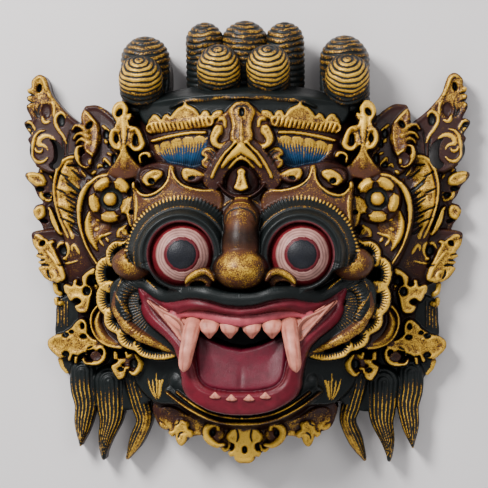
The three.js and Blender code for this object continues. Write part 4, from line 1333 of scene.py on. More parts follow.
@dataclass
class Hair:
    """The black hair behind the jaw, its hanging locks, and the beard below the chin."""

    def carve(self, board: Board) -> None:
        """Carves the hair and beard.

        Args:
            board: The board.
        """
        self.mass(board)
        self.hanging(board)
        self.beard(board)

    def mass(self, board: Board) -> None:
        """Carves the black hair behind the leaves and beside the jaw.

        Args:
            board: The board.
        """
        board.plate([(118, -40), (134, -40), (138, -46), (138.6, -58), (139, -66), (136, -80), (134, -92),
            (128, -98), (125.6, -112), (108, -118), (96, -116), (88, -122), (74, -118), (62, -108), (62, -90),
            (90, -78)], lambda x, y: 14 + 12 * smooth(100, 70, x), BLACK, rim=0.0, dish=0)
        board.plate([(44, -72), (70, -78), (80, -88), (78, -102), (66, -114), (54, -116), (40, -112)],
            lambda x, y: 38 + 0.5 * (64 - x) + 0.1 * (y + 100), BLACK, rim=0.0, dish=0)
        for k in range(4):
            board.lines(Coat(Tint.BLACK, 0.4), 0.9, (0.45, [(137 - 2.4 * k, -42), (136.6 - 2.2 * k, -52),
                (137 - 2.4 * k, -62)]))
        strands = ([(69, -98), (66.6, -106), (63.4, -112)], [(65.4, -99), (64.6, -106), (62.6, -112.4)],
            [(62.6, -94), (62.4, -102), (61.8, -112)], [(60.2, -98), (60.6, -105), (61, -112)], [(55.4, -95),
            (58.4, -101), (60.2, -111)], [(57.6, -97), (59.6, -103), (60.8, -110)],)
        board.lines(GOLD, 1.3, *((0.55, path) for path in strands))

    def hanging(self, board: Board) -> None:
        """Carves the three long locks on each side, each cut into strands.

        Args:
            board: The board.
        """
        self.lock(board, [(127.4, -92), (127, -104), (123.8, -116), (123.8, -130), (120.6, -147.6)], [(110, -96),
            (110, -108), (109.6, -120), (113, -132), (119.6, -147.6)], 16, 14.5, 6)
        self.lock(board, [(110, -100), (108.6, -114), (107.4, -128), (108.2, -144), (107, -153.4), (104.4, -156.8)],
            [(88, -102), (88.2, -114), (89, -128), (95.6, -140), (99.6, -149.6), (102, -156.8)], 18, 15, 7)
        self.lock(board, [(88.6, -92), (86, -104), (82.6, -118), (78.6, -130), (83.6, -144), (86.6, -156.4)],
            [(73, -92), (73.4, -104), (69.6, -116), (68.4, -128), (74.4, -142), (84.4, -156.4)], 24, 16, 5, 0.55)

    def lock(self, board: Board, outer: Sequence[Point], inner: Sequence[Point], root: float, tip: float,
            strands: int, rub: float = 0.0) -> None:
        """Carves one lock between two edges.

        Args:
            board: The board.
            outer: The edge on the outer side, from root to tip.
            inner: The edge on the inner side.
            root: The height at the root.
            tip: The height at the tip.
            strands: The strands side by side.
            rub: How much of its inner side is gilded as a whole.
        """
        a, b = curve(outer), curve(inner)
        count = 60
        share = np.linspace(0, 1, count)[:, None]
        a, b = (np.stack([np.interp(share[:, 0], np.linspace(0, 1, len(p)), p[:, k]) for k in (0, 1)],
            1) for p in (a, b))
        board.stroke((a + b) / 2, lambda t: np.interp(t, share[:, 0], np.hypot(*(a - b).T) / 2) + 0.3,
            slope(root, tip), BLACK, 4.5, solid=True,
            detail=lambda t, u, s: 1.5 * (scallop((u + 1) / 2 * strands) - 1) * smooth(0.99, 0.8, t),
            gilt=lambda t, u, s: np.maximum(0.95 * np.exp(-((((u + 1) / 2 * strands % 1 - 0.5) / 0.12) ** 2))
            * smooth(0.02, 0.3, t), rub * smooth(0.15, -0.3, u) * smooth(-0.95, -0.7, u) * smooth(0.35, 0.6, t)))

    def beard(self, board: Board) -> None:
        """Carves the chin line and the beard's leaves.

        Args:
            board: The board.
        """
        board.plate([(-5, -120), (30, -116), (50, -104), (58, -110), (66, -118), (64, -128), (60, -134), (54, -136),
            (44, -138), (34, -136), (26, -142), (14, -148), (-5, -150)], tilted(28, 0.2, -130), MAROON, rim=0.1,
            dish=0)
        board.stroke([(-2, -117), (20, -115), (34, -109), (46, -99)], 7, slope(58, 46), BLACK, 3)
        board.stroke([(-2, -126), (15, -125), (26, -122), (35, -117.6), (44, -112), (52, -106)], 4.2, slope(54, 46),
            BLACK, 1.2)
        for path in ([(-2, -124.2), (11, -123.6), (21, -121.6), (30, -118), (38, -113.2), (47, -106.6)],
                [(-2, -128.4), (8, -128.2), (15, -127.4), (24, -125), (33, -121), (43, -115.2), (54, -107)]):
            board.stroke(curve(path), slope(1.4, 0.9), slope(61, 52), BARE_UMBER, 2.4,
                gilt=lambda t, u, s: 0.75 + 0.3 * np.sin(11 * t + 1))
        board.plate([(54.4, -137.4), (51.6, -139.8), (49.8, -138), (49.4, -141.4), (47.6, -145.2), (45, -146.4),
            (42, -143.6), (40.8, -140), (38.8, -140.4), (36.4, -138.4), (37.6, -135.8), (40, -134), (40.6, -129),
            (49, -128), (50.6, -133.6), (53.6, -134.6)], tilted(33.4, 0.1, -138), GOLD, body=1.0,
            shade=fade(0.35, -126, -133))
        board.lines(Coat(Tint.MAROON, 0.75), 1.8, (1.8, [(61, -130.4), (58, -133.4), (54.4, -133)]), (1.2,
            [(33.4, -127), (32.2, -132), (34.2, -135)]), (0.9, [(53.6, -121), (50.4, -122.4), (51, -125.6)]), (0.9,
            [(44.6, -127), (42.4, -130.4), (40, -129)]), (0.8, [(58, -122), (60.4, -127), (57.6, -129.6)]), (0.8,
            [(38, -123.6), (40.2, -126.4)]))
        board.lines(BLACK, -2.0, (0.6, [(47.6, -141), (46.4, -137.6), (43.8, -136.6)]), (0.6, [(50.4, -131.6),
            (47.4, -130.4), (46.6, -127.6)]), (0.6, [(36.6, -131.4), (38.8, -129.6), (38.4, -127)]), (0.6,
            [(56.4, -128), (53.6, -126.6), (53, -123.4)]), (0.6, [(31.4, -133.6), (30.6, -130.6), (28.6, -129.6)]))
        board.pit(52.6, -134, 2, 1.6, 5)
        board.pit(37.8, -133.4, 2.4, 1.5, 5, 50)
        board.dome(22, -137, 7.4, 7.6, 31.5, UMBER, 1.5, gilt=lambda r: 0.5 * smooth(0.2, 0.9, r), solid=True)
        board.stroke([(18.6, -134), (19.4, -131.4), (23, -131), (26.8, -133.4), (27.4, -137.4), (25, -142),
            (20, -145.2), (14.6, -145.2)], hump(1.5, 2.7), 34.4, GOLD, 2, solid=True)
        board.pit(22.6, -137, 2.0, 2.4, 2.5)
        board.lines(BLACK, -2.2, *((0.55, [(15.4 - 1.1 * k, -136 - 2.6 * k),
            (12.4 - 1.1 * k, -136.6 - 2.6 * k)]) for k in range(4)))
        board.stroke([(13.6, -141), (11.2, -144), (11.6, -147.8), (14.2, -149.6), (16.4, -147.8)], 1.3, 27, GOLD,
            1.6, solid=True)
        board.plate([(56, -133), (46, -141), (30, -139), (14, -146), (6, -140), (8, -131), (24, -128.6), (40, -124),
            (54, -117), (62, -122)], tilted(30.8, 0.2, -130), GOLD, rim=0.85, body=0.75,
            shade=fade(0.2, -122, -133))
        board.plate([(-6, -130), (0, -131), (8, -133), (11, -135.6), (13.4, -139.4), (11.6, -143), (7.6, -145.6),
            (9, -149), (11.8, -151), (10.4, -153.8), (7.6, -153.8), (7, -156.2), (4, -158.4), (0, -158.8),
            (-6, -158.8)], lambda x, y: 36 + 0.16 * (y + 130) - 0.004 * x * x, GOLD, body=1.2)
        board.pit(0, -149, 2.9, 1.9, 5, 90)
        board.lines(BLACK, -2.4, (0.7, [(5.4, -134), (4.4, -139), (5.4, -143)]))


# Finishes


@dataclass(frozen=True)
class PaintedWood:
    """Old paint over soft wood, with gold rubbed on what stands proud."""

    name: str
    roughness: float = 0.40
    metal: float = 0.35
    gloss: float = 0.22
    bright: tuple = (0.84, 0.50, 0.055)
    dull: tuple = (0.19, 0.078, 0.010)
    dirt: tuple = (0.16, 0.060, 0.010)
    soot: tuple = (0.0, 0.0, 0.0)
    dust: tuple = (0.30, 0.22, 0.17)
    speckle: float = 1.96
    fleck_size: float = 1150
    cloud_size: float = 170
    grain_size: float = 1900
    coat: float = 0.05
    coat_roughness: float = 0.28
    bump: float = 0.30
    bump_depth: float = 0.0006

    def material(self) -> bpy.types.Material:
        """Builds the material.

        Returns:
            A material that reads the paint and gilt attributes of a piece.
        """
        made = bpy.data.materials.new(self.name)
        made.use_nodes = True
        tree = made.node_tree
        tree.nodes.clear()
        link = tree.links.new

        def node(kind: str, **values: object) -> bpy.types.Node:
            """Adds a node.

            Args:
                kind: Its type.
                values: Its properties.

            Returns:
                The node.
            """
            fresh = tree.nodes.new(kind)
            for key, value in values.items():
                setattr(fresh, key, value)
            return fresh

        def fed(sockets: Sequence, values: Sequence) -> None:
            """Sets each socket to a number or a colour, or links it to another node.

            Args:
                sockets: The sockets.
                values: A number, a colour or another node's socket for each.
            """
            for socket, value in zip(sockets, values):
                if isinstance(value, (int, float)):
                    socket.default_value = value
                elif isinstance(value, tuple):
                    socket.default_value = (*value, 1)
                else:
                    link(value, socket)

        def noise(scale: float, detail: float, rough: float) -> bpy.types.NodeSocket:
            """Adds a noise of the surface's own place.

            Args:
                scale: Its scale.
                detail: Its octaves.
                rough: How strong its fine octaves are.

            Returns:
                Its value.
            """
            fresh = node("ShaderNodeTexNoise")
            fed([fresh.inputs[key] for key in ("Vector", "Scale", "Detail", "Roughness")], (place.outputs["Object"],
                scale, detail, rough))
            return fresh.outputs["Fac"]

        def sums(kind: str, a: object, b: object) -> bpy.types.NodeSocket:
            """Returns a sum, difference or product of two values."""
            fresh = node("ShaderNodeMath", operation=kind)
            fed(fresh.inputs, (a, b))
            return fresh.outputs[0]

        def mixed(share: object, a: object, b: object) -> bpy.types.NodeSocket:
            """Returns a mix of two colours."""
            fresh = node("ShaderNodeMix", data_type="RGBA", blend_type="MIX")
            fed((fresh.inputs[0], fresh.inputs[6], fresh.inputs[7]), (share, a, b))
            return fresh.outputs[2]

        def ranged(value: object, low: float, high: float, a: float = 0, b: float = 1) -> bpy.types.NodeSocket:
            """Returns a value mapped from the range low to high to the range a to b."""
            fresh = node("ShaderNodeMapRange")
            fed(list(fresh.inputs)[:5], (value, low, high, a, b))
            return fresh.outputs[0]

        place = node("ShaderNodeTexCoord")
        paint = node("ShaderNodeAttribute", attribute_name="paint").outputs["Color"]
        gilt = node("ShaderNodeAttribute", attribute_name="gilt").outputs["Fac"]
        fleck, cloud = noise(self.fleck_size, 3, 0.6), noise(self.cloud_size, 3, 0.5)
        grain = noise(self.grain_size, 2, 0.7)
        spread = sums("MULTIPLY", sums("SUBTRACT", fleck, 0.5), self.speckle)
        level = sums("ADD", sums("ADD", gilt, spread), sums("SUBTRACT", cloud, 0.5))
        mask = sums("MULTIPLY", ranged(level, 0.20, 0.50), ranged(gilt, 0.02, 0.14))
        gold = mixed(ranged(level, 0.36, 0.92), self.dull, self.bright)
        gold = mixed(ranged(grain, 0.40, 0.75, 0, 0.40), gold, self.dirt)
        # The paint attribute carries the painted shade of the carved block; soot and dust are mixed into it here.
        wear_and_shade = mixed(ranged(cloud, 0.3, 0.7, 0, 0.35), paint, self.soot)
        wear_and_shade = mixed(ranged(grain, 0.66, 0.82, 0, 0.10), wear_and_shade, self.dust)
        rough = ranged(sums("ADD", grain, cloud), 0.7, 1.3, self.roughness - 0.08, self.roughness + 0.12)
        bump = node("ShaderNodeBump")
        fed([bump.inputs[key] for key in ("Strength", "Distance", "Height")], (self.bump, self.bump_depth,
            sums("ADD", fleck, sums("MULTIPLY", grain, 0.5))))
        finish = {"Base Color": mixed(mask, wear_and_shade, gold), "Metallic": sums("MULTIPLY", mask, self.metal),
            "Roughness": rough, "Specular IOR Level": self.gloss, "Coat Weight": self.coat,
            "Coat Roughness": self.coat_roughness, "Normal": bump.outputs[0]}
        shader = node("ShaderNodeBsdfPrincipled")
        fed([shader.inputs[key] for key in finish], finish.values())
        link(shader.outputs[0], node("ShaderNodeOutputMaterial").inputs[0])
        return made


# Pieces


def deselect() -> None:
    """Leaves nothing selected."""
    if bpy.context.object and bpy.context.object.mode != "OBJECT":
        bpy.ops.object.mode_set(mode="OBJECT")
    bpy.ops.object.select_all(action="DESELECT")


def pick(piece: bpy.types.Object) -> None:
    """Selects one piece alone and makes it active.

    Args:
        piece: The piece.
    """
    deselect()
    piece.select_set(True)
    bpy.context.view_layer.objects.active = piece


def edit(piece: bpy.types.Object, select: str = "DESELECT", kind: str = "VERT") -> None:
    """Opens a piece in edit mode.

    Args:
        piece: The piece.
        select: SELECT for all of it selected, DESELECT for nothing.
        kind: What is picked in it, VERT or EDGE.
    """
    pick(piece)
    bpy.ops.object.mode_set(mode="EDIT")
    bpy.ops.mesh.select_mode(type=kind)
    bpy.ops.mesh.select_all(action=select)


def edit_open_edges(piece: bpy.types.Object) -> None:
    """Opens a piece in edit mode with its open edges selected."""
    edit(piece, kind="EDGE")
    bpy.ops.mesh.select_non_manifold(extend=False, use_wire=False, use_multi_face=False, use_non_contiguous=False,
        use_verts=False)


def meshed(name: str, points: Sequence, edges: Sequence, faces: Sequence) -> bpy.types.Object:
    """A new piece of the scene.

    Args:
        name: Its name.
        points: Its vertices, in metres.
        edges: Its edges, where it has no faces.
        faces: Its faces.

    Returns:
        The piece.
    """
    mesh = bpy.data.meshes.new(name)
    mesh.from_pydata(points, edges, faces)
    piece = bpy.data.objects.new(name, mesh)
    bpy.context.scene.collection.objects.link(piece)
    return piece


def read(items: Sequence, key: str, width: int = 1, kind: type = float) -> Array:
    """Reads one value of every vertex, edge, face or corner.

    Args:
        items: The vertices, edges, faces or corners, or an attribute's values.
        key: The name of the value.
        width: How many numbers it has.
        kind: Their type.

    Returns:
        The values, with a row for each item where they have more than one number.
    """
    values = np.empty(len(items) * width, kind)
    items.foreach_get(key, values)
    return values.reshape(-1, width) if width > 1 else values


def stored(piece: bpy.types.Object, paint: Array, gilt: Array) -> None:
    """Stores a finish on the vertices of a piece.

    Args:
        piece: The piece.
        paint: The paint's colour at each vertex.
        gilt: The gilding at each vertex.
    """
    mesh = piece.data
    colours = mesh.attributes.get("paint") or mesh.attributes.new("paint", "FLOAT_COLOR", "POINT")
    rgba = np.ones((len(paint), 4), np.float32)
    rgba[:, :3] = paint
    colours.data.foreach_set("color", rgba.ravel())
    amount = mesh.attributes.get("gilt") or mesh.attributes.new("gilt", "FLOAT", "POINT")
    amount.data.foreach_set("value", np.asarray(gilt, np.float32))


def coordinates(piece: bpy.types.Object) -> Array:
    """Returns the places of a piece's vertices, in metres."""
    return read(piece.data.vertices, "co", 3)


def finished(piece: bpy.types.Object, finish: bpy.types.Material) -> bpy.types.Object:
    """Gives a piece its finish and its place in the frame.

    Args:
        piece: The piece, with its place in its mesh.
        finish: Its material.

    Returns:
        The piece.
    """
    piece.data.materials.clear()
    piece.data.materials.append(finish)
    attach(piece, "root")
    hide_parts(NODE)
    log.info("%s: %d faces", piece.name, len(piece.data.polygons))
    return piece


@dataclass
class Relief:
    """The carved block, cut from the board into five pieces: the face, the crown, the beard and the two wings.
    The carved block, cut from the board into pieces that are light enough to handle.
    """

    side: float = 65.5
    top: float = 73.5
    low: float = -97.5
    hollow: tuple = (0, -12, 64, 84, 33)
    skirt: float = 1.2
    seam_depth: float = 1.5
    snap_within: float = 1.2 * STEP
    snap_most: float = 0.7 * STEP

    def build(self, grids: dict[str, Array], finish: bpy.types.Material) -> None:
        """Builds the pieces of the block.

        Args:
            grids: The finished board.
            finish: The material.
        """
        reach, far = self.side, HALF_WIDTH + 1
        parts = {"face": (-reach, reach, self.low, self.top), "crown": (-reach, reach, self.top, far),
            "beard": (-reach, reach, -far, self.low), "wing_right": (reach, far, -far, far),
            "wing_left": (-far, -reach, -far, far),}
        cells = self.kept_cells(grids["reach"])
        for name, region in parts.items():
            piece = self.surface(name, region, grids, cells)
            self.close(piece, name == "face")
            finished(piece, finish)

    def kept_cells(self, reach: Array) -> Array:
        """The cells of the grid that lie inside the outline.

        Args:
            reach: How far inside the outline each point lies.

        Returns:
            True for each cell that is kept.
        """
        middle = (reach[1:, 1:] + reach[:-1, 1:] + reach[1:, :-1] + reach[:-1, :-1]) / 4
        kept = middle > 0
        for _ in range(3):
            a, b, c, d = kept[:-1, :-1], kept[:-1, 1:], kept[1:, :-1], kept[1:, 1:]
            slash = a & d & ~b & ~c
            back = b & c & ~a & ~d
            kept[:-1, 1:] |= slash
            kept[:-1, :-1] |= back
        return kept

    def surface(self, name: str, region: tuple, grids: dict[str, Array], cells: Array) -> bpy.types.Object:
        """The carved surface over one region.

        Args:
            name: The piece's name.
            region: Its least and greatest x and y.
            grids: The finished board.
            cells: The cells inside the outline.

        Returns:
            The open surface as a piece.
        """
        height, reach = grids["height"], grids["reach"]
        ny, nx = height.shape
        x = (np.arange(nx) - (nx - 1) / 2) * STEP
        y = -HALF_HEIGHT + np.arange(ny) * STEP
        cx, cy = x[:-1] + STEP / 2, y[:-1] + STEP / 2
        x0, x1, y0, y1 = region
        mine = cells & ((cx > x0) & (cx < x1))[None, :] & ((cy > y0) & (cy < y1))[:, None]
        full = np.zeros((ny + 1, nx + 1), bool)
        full[1:-1, 1:-1] = cells
        touched = full[1:, 1:] & full[:-1, 1:] & full[1:, :-1] & full[:-1, :-1]
        gy, gx = np.gradient(reach, STEP)
        steep = np.maximum(gx * gx + gy * gy, 0.25)
        move = np.where(~touched & (np.abs(reach) < self.snap_within), -reach / steep, 0)
        move = np.clip(move, -self.snap_most, self.snap_most)
        px, py = x[None, :] + move * gx, y[:, None] + move * gy
        rows, columns = np.nonzero(mine)
        corner = rows * nx + columns
        quads = np.stack([corner, corner + 1, corner + nx + 1, corner + nx], 1)
        used, index = np.unique(quads, return_inverse=True)
        points = np.stack([px.ravel()[used], py.ravel()[used], height.ravel()[used]], 1) * MM
        piece = meshed(name, points.tolist(), [], index.reshape(-1, 4).tolist())
        stored(piece, grids["paint"].reshape(-1, 3)[used], grids["gilt"].ravel()[used])
        seam = piece.data.attributes.new("seam", "FLOAT", "POINT")
        seam.data.foreach_set("value", (reach.ravel()[used] > self.seam_depth).astype(np.float32))
        piece.data.shade_smooth()

        return piece

    def close(self, piece: bpy.types.Object, hollowed: bool) -> None:
        """Gives a surface its sides and its flat back, with the hollow where the piece has one.

        Args:
            piece: The open surface.
            hollowed: Whether the hollow for a wearer's face is in it.
        """
        top_count = len(piece.data.vertices)
        edit_open_edges(piece)
        for depth in (self.skirt, 1):
            bpy.ops.mesh.extrude_edges_move(TRANSFORM_OT_translate={"value": (0, 0, -depth * MM)})
        bpy.ops.transform.resize(value=(1, 1, 0), center_override=(0, 0, 0))
        bpy.ops.object.mode_set(mode="OBJECT")
        if hollowed:
            self.add_hollow(piece)
        edit_open_edges(piece)
        bpy.ops.mesh.fill(use_beauty=False)
        bpy.ops.object.mode_set(mode="OBJECT")
        values = piece.data.attributes
        co = coordinates(piece)
        paint = read(values["paint"].data, "color", 4, np.float32)[:, :3]
        gilt = read(values["gilt"].data, "value", kind=np.float32)
        below = np.arange(len(co)) >= top_count
        paint[below] = Tint.MAROON.value
        paint[below & (co[:, 2] < MICRON)] = Tint.BACK.value
        gilt[below] = 0
        stored(piece, paint, gilt)
        self.sharpen(piece.data)

    def add_hollow(self, piece: bpy.types.Object) -> None:
        """Joins the hollow's bowl to a piece, standing free inside its back rim.

        Args:
            piece: The piece, open at the back.
        """
        x, y, rx, ry, rz = (size * MM for size in self.hollow)
        deselect()
        bpy.ops.mesh.primitive_uv_sphere_add(segments=72, ring_count=36, radius=1)
        bowl = bpy.context.object
        bpy.ops.object.mode_set(mode="EDIT")
        bpy.ops.mesh.select_all(action="SELECT")
        bpy.ops.mesh.bisect(plane_co=(0, 0, 0), plane_no=(0, 0, 1), clear_inner=True)
        bpy.ops.mesh.select_all(action="SELECT")
        bpy.ops.mesh.flip_normals()
        bpy.ops.object.mode_set(mode="OBJECT")
        bowl.data.transform(Matrix.Translation((x, y, 0)) @ Matrix.Diagonal((rx, ry, rz, 1)))
        bowl.data.shade_smooth()
        count = len(bowl.data.vertices)
        stored(bowl, np.tile(Tint.BACK.value, (count, 1)), np.zeros(count))
        pick(piece)
        bowl.select_set(True)
        bpy.ops.object.join()

    def sharpen(self, mesh: bpy.types.Mesh) -> None:
        """Keeps the seams between pieces and the flat back from shading softly.

        Args:
            mesh: The closed mesh of a piece.
        """
        seam = read(mesh.attributes["seam"].data, "value", kind=np.float32)
        ends = read(mesh.edges, "vertices", 2, np.int32)
        facing = read(mesh.polygons, "normal", 3)[:, 2]
        height = read(mesh.polygons, "center", 3)[:, 2]
        edge_of = read(mesh.loops, "edge_index", kind=np.int32)
        owner = np.repeat(np.arange(len(mesh.polygons)), read(mesh.polygons, "loop_total", kind=np.int32))
        upright = np.abs(facing) < 0.02
        bottom = (facing < -0.98) & (height < 10 * MICRON)
        sides, bottoms = (np.bincount(edge_of, kind[owner], len(mesh.edges)) for kind in (upright, bottom))
        both = (seam[ends[:, 0]] > 0.5) & (seam[ends[:, 1]] > 0.5)
        marks = mesh.attributes.get("sharp_edge") or mesh.attributes.new("sharp_edge", "BOOLEAN", "EDGE")
        marks.data.foreach_set("value", (both & (sides > 0)) | (bottoms == 1))
        mesh.attributes.remove(mesh.attributes["seam"])
        mesh.update()


def turned(profile: Array, name: str, steps: int = 56) -> bpy.types.Object:
    """A solid of revolution.

    Args:
        profile: The radius and height of each point, from the bottom of the axis to its top.
        name: The piece's name.
        steps: Sides around.

    Returns:
        The piece, standing on +Z.
    """
    points = [(r * MM, 0, z * MM) for r, z in profile]
    piece = meshed(name, points, [(i, i + 1) for i in range(len(points) - 1)], [])

    edit(piece, "SELECT")
    bpy.ops.mesh.spin(steps=steps, angle=2 * math.pi, center=(0, 0, 0), axis=(0, 0, 1))
    bpy.ops.mesh.select_all(action="SELECT")
    bpy.ops.mesh.remove_doubles(threshold=MICRON)
    bpy.ops.mesh.normals_make_consistent(inside=False)
    bpy.ops.object.mode_set(mode="OBJECT")
    piece.data.shade_smooth()
    return piece


@dataclass
class Bun:
    """One bun of coiled hair, whose rings are carved as ridges."""

    name: str
    x: float
    y: float
    z: float
    radius: float
    length: float
    lean: float
    rub: float
    pitch: float = 3.9
    groove: float = 1.1
    samples: int = 96

    def build(self, finish: bpy.types.Material) -> None:
        """Builds the bun.

        Args:
            finish: The material.
        """
        total = self.length + 0.5 * math.pi * self.radius
        walked = np.linspace(0, total, self.samples)
        turn = np.clip((walked - self.length) / self.radius, 0, math.pi / 2)
        ridge = np.abs(np.sin(np.pi * (total - walked) / self.pitch)) ** 0.55
        dent = self.groove * (1 - ridge) * smooth(0, 3, total - walked)
        reach = np.maximum(self.radius - dent, 0.1)
        r = reach * np.cos(turn)
        z = np.minimum(walked, self.length) - self.length + reach * np.sin(turn)
        r[-1] = 0
        profile = np.vstack([[0, z[0]], np.stack([r, z], 1)])
        piece = turned(profile, self.name)
        co = coordinates(piece) / MM
        angle = np.arctan2(np.hypot(co[:, 0], co[:, 1]), np.maximum(co[:, 2], 0))
        arc_walked = np.where(co[:, 2] > 0, (math.pi / 2 - angle) * self.radius, co[:, 2]) + self.length
        crest = np.abs(np.sin(np.pi * (total - arc_walked) / self.pitch))
        front = smooth(-0.35, 0.55, -co[:, 1] / self.radius) * smooth(-0.55 * self.length, 0, co[:, 2])
        turn = np.arctan2(co[:, 0], co[:, 1])
        wobble = 0.7 * np.sin(2 * turn + self.x) + 0.45 * np.sin(3 * turn + 2 * self.x + 0.12 * co[:, 2])
        wobble += 0.3 * np.sin(7 * turn + 0.35 * co[:, 2] + self.y)
        co[:, 2] += wobble * smooth(0, 7, self.radius - np.abs(co[:, 2]))
        piece.data.vertices.foreach_set("co", (co * MM).ravel())
        gilt = self.rub * (0.05 + 0.95 * smooth(0.45, 0.8, crest)) * (0.15 + 0.85 * front)
        stored(piece, np.tile(Tint.BLACK.value, (len(co), 1)), gilt)
        tilt = Euler((math.radians(self.lean - 90), 0, 0)).to_matrix().to_4x4()
        piece.data.transform(Matrix.Translation(Vector((self.x, self.y, self.z)) * MM) @ tilt)
        piece.data.update()
        finished(piece, finish)


@dataclass
class Buns:
    """The hair buns on the crown: one on the middle line and four pairs."""

    middle: tuple = ("bun_top", 0, 141.2, 25, 17.4, 40, 12, 0.34, 4.2)
    pairs: tuple = (("bun_back", 28.6, 143.2, 26, 14.2, 40, 14, 0.34, 4.2), ("bun_front", 17.6, 124, 46, 15.6, 18,
        40, 0.9), ("bun_side_back", 71.5, 129.5, 27, 18, 34, 14, 0.36, 4.2), ("bun_side_front", 73.6, 117, 42, 15.8,
        14, 42, 0.9))

    def build(self, finish: bpy.types.Material) -> None:
        """Builds the nine buns.

        Args:
            finish: The material.
        """
        Bun(*self.middle).build(finish)
        for side, word in SIDES:
            for name, x, *form in self.pairs:
                Bun(f"{name}_{word}", side * x, *form).build(finish)


@dataclass
class Eye:
    """One bulging eye, painted in rings."""

    name: str
    side: int
    centre: tuple = (41.8, -9, 62)
    radius: float = 23.2
    look: float = 1.2
    rings: tuple = ((10.1, Tint.PUPIL), (12.2, Tint.CRIMSON), (18.4, Tint.EYE_WHITE), (26.0, Tint.RED))

    def build(self, finish: bpy.types.Material) -> None:
        """Builds the eye.

        Args:
            finish: The material.
        """
        deselect()
        bpy.ops.mesh.primitive_uv_sphere_add(segments=96, ring_count=128, radius=self.radius * MM)
        piece = bpy.context.object
        piece.name = piece.data.name = self.name
        bpy.ops.object.mode_set(mode="EDIT")
        bpy.ops.mesh.select_all(action="SELECT")
        bpy.ops.mesh.bisect(plane_co=(0, 0, 0), plane_no=(0, 0, 1), clear_inner=True, use_fill=True)
        bpy.ops.object.mode_set(mode="OBJECT")
        co = coordinates(piece) / MM
        across = np.hypot(co[:, 0] - self.look, co[:, 1])
        angle = np.arctan2(co[:, 1], co[:, 0] - self.look)
        paint = np.tile(self.rings[-1][1].value, (len(co), 1))
        for edge, tint in reversed(self.rings[:-1]):
            paint[across < edge] = tint.value
        white = (across > self.rings[1][0]) & (across < self.rings[2][0])
        brushed = 0.62 + 0.38 * np.sin(3.3 * across + 1.6 * np.sin(2 * angle + 1) + 0.7 * np.sin(5 * angle))
        paint[white] *= np.clip(brushed + 0.25, 0.35, 1)[white][:, None]
        for edge, _ in self.rings[:2]:
            co[:, 2] -= 0.35 * bell(across, edge, 0.5) * (co[:, 2] > 0)
        piece.data.vertices.foreach_set("co", (co * MM).ravel())
        stored(piece, paint, np.zeros(len(co)))
        x, y, z = self.centre
        piece.data.transform(Matrix.Translation(Vector((self.side * x, y, z)) * MM))
        piece.data.shade_smooth()
        finished(piece, finish)


@dataclass
class Tooth:
    """One tooth: a form that is swept along a bent line and rounded at its tip."""

    name: str
    path: tuple
    widths: tuple
    thick: float = 0.8
    blunt: bool = True
    tint: Tint = Tint.TOOTH
    steps: int = 22
    sides: int = 24

    def build(self, finish: bpy.types.Material, side: int = 1) -> None:
        """Builds the tooth.

        Args:
            finish: The material.
            side: 1 for the right side and -1 for the left.
        """
        knots = np.array(self.path, float)
        share = np.linspace(0, 1, len(knots))
        count, sides = self.steps, self.sides
        t = np.linspace(0, 1, count)
        middle = np.stack([np.interp(t, share, knots[:, k]) for k in range(3)], 1)
        width = np.interp(t, np.linspace(0, 1, len(self.widths)), self.widths)
        if self.blunt:
            width = width * np.sqrt(np.clip(1 - ((t - 0.82) / 0.18).clip(0) ** 2, 0.02, 1))
        way = np.gradient(middle, axis=0)
        way /= np.linalg.norm(way, axis=1)[:, None]
        across = np.cross(way, (0, 0, 1))
        across /= np.linalg.norm(across, axis=1)[:, None]
        up = np.cross(across, way)
        angle = np.linspace(0, 2 * np.pi, sides, endpoint=False)
        rings = [m + w * (np.cos(angle)[:, None] * a + self.thick * np.sin(angle)[:, None] * u)
            for m, w, a, u in zip(middle, width, across, up)]
        points = np.vstack(rings)
        points[:, 0] *= side
        faces = [(i * sides + j, i * sides + (j + 1) % sides, (i + 1) * sides + (j + 1) % sides,
            (i + 1) * sides + j) for i in range(count - 1) for j in range(sides)]
        faces += [tuple(range(sides)), tuple(range((count - 1) * sides, count * sides))]
        piece = meshed(self.name, (points * MM).tolist(), [], faces)

        edit(piece, "SELECT")
        bpy.ops.mesh.normals_make_consistent(inside=False)
        bpy.ops.object.mode_set(mode="OBJECT")
        piece.data.shade_smooth()
        around, down = np.tile(angle, count), np.repeat(t, sides)
        # Brown streaks of worn paint run down the tooth; it is also darker towards its root as painted shade, where
        # it meets the gum and lips.
        wear_and_shade = 0.95 * np.clip(np.sin(5 * around + 4 * down + self.path[0][0]), 0, 1) ** 3 * smooth(0.05, 0.3, down)
        wear_and_shade += 0.45 * smooth(0.3, 0.0, down)
        paint = np.array(self.tint.value) * (1 - np.clip(wear_and_shade, 0, 1)[:, None] * np.array((0.35, 0.55, 0.6)))
        stored(piece, paint, np.zeros(len(points)))
        finished(piece, finish)


@dataclass
class Teeth:
    """All the teeth."""

    upper: tuple = (21.9, 7.6)
    lower: tuple = (17.4, 6.1)

    def build(self, finish: bpy.types.Material) -> None:
        """Builds fangs, tusks and the small teeth.

        Args:
            finish: The material.
        """
        for side, word in SIDES:
            Tooth(f"fang_{word}", ((32.6, -53, 66), (34.6, -64, 79), (37.0, -77, 85), (39.2, -90.4, 85.6)),
                (6.0, 5.7, 5.1, 4.1)).build(finish, side)
            Tooth(f"tusk_{word}", ((40, -60.5, 66), (50, -53, 67), (58, -47.5, 64), (67, -41.5, 60)),
                (8.2, 5.2, 3.0, 0.8), blunt=False).build(finish, side)
            for k, x in enumerate(self.upper):
                Tooth(f"upper_tooth_{word}_{k + 1}", ((x, -53, 70), (x, -58, 75), (x, -62, 77), (x, -67.5, 74)),
                    (5.0, 7.2, 5.8, 0.9), 0.45, False).build(finish, side)
            for k, x in enumerate(self.lower):
                y = -109.6 + 0.006 * x * x
                Tooth(f"lower_tooth_{word}_{k + 1}", ((x, y - 0.4, 79), (x, y, 82), (x, y + 1.2, 82.8),
                    (x, y + 3.4, 82.2)), (4.1, 3.8, 2.6, 0.4), 0.32, False).build(finish, side)


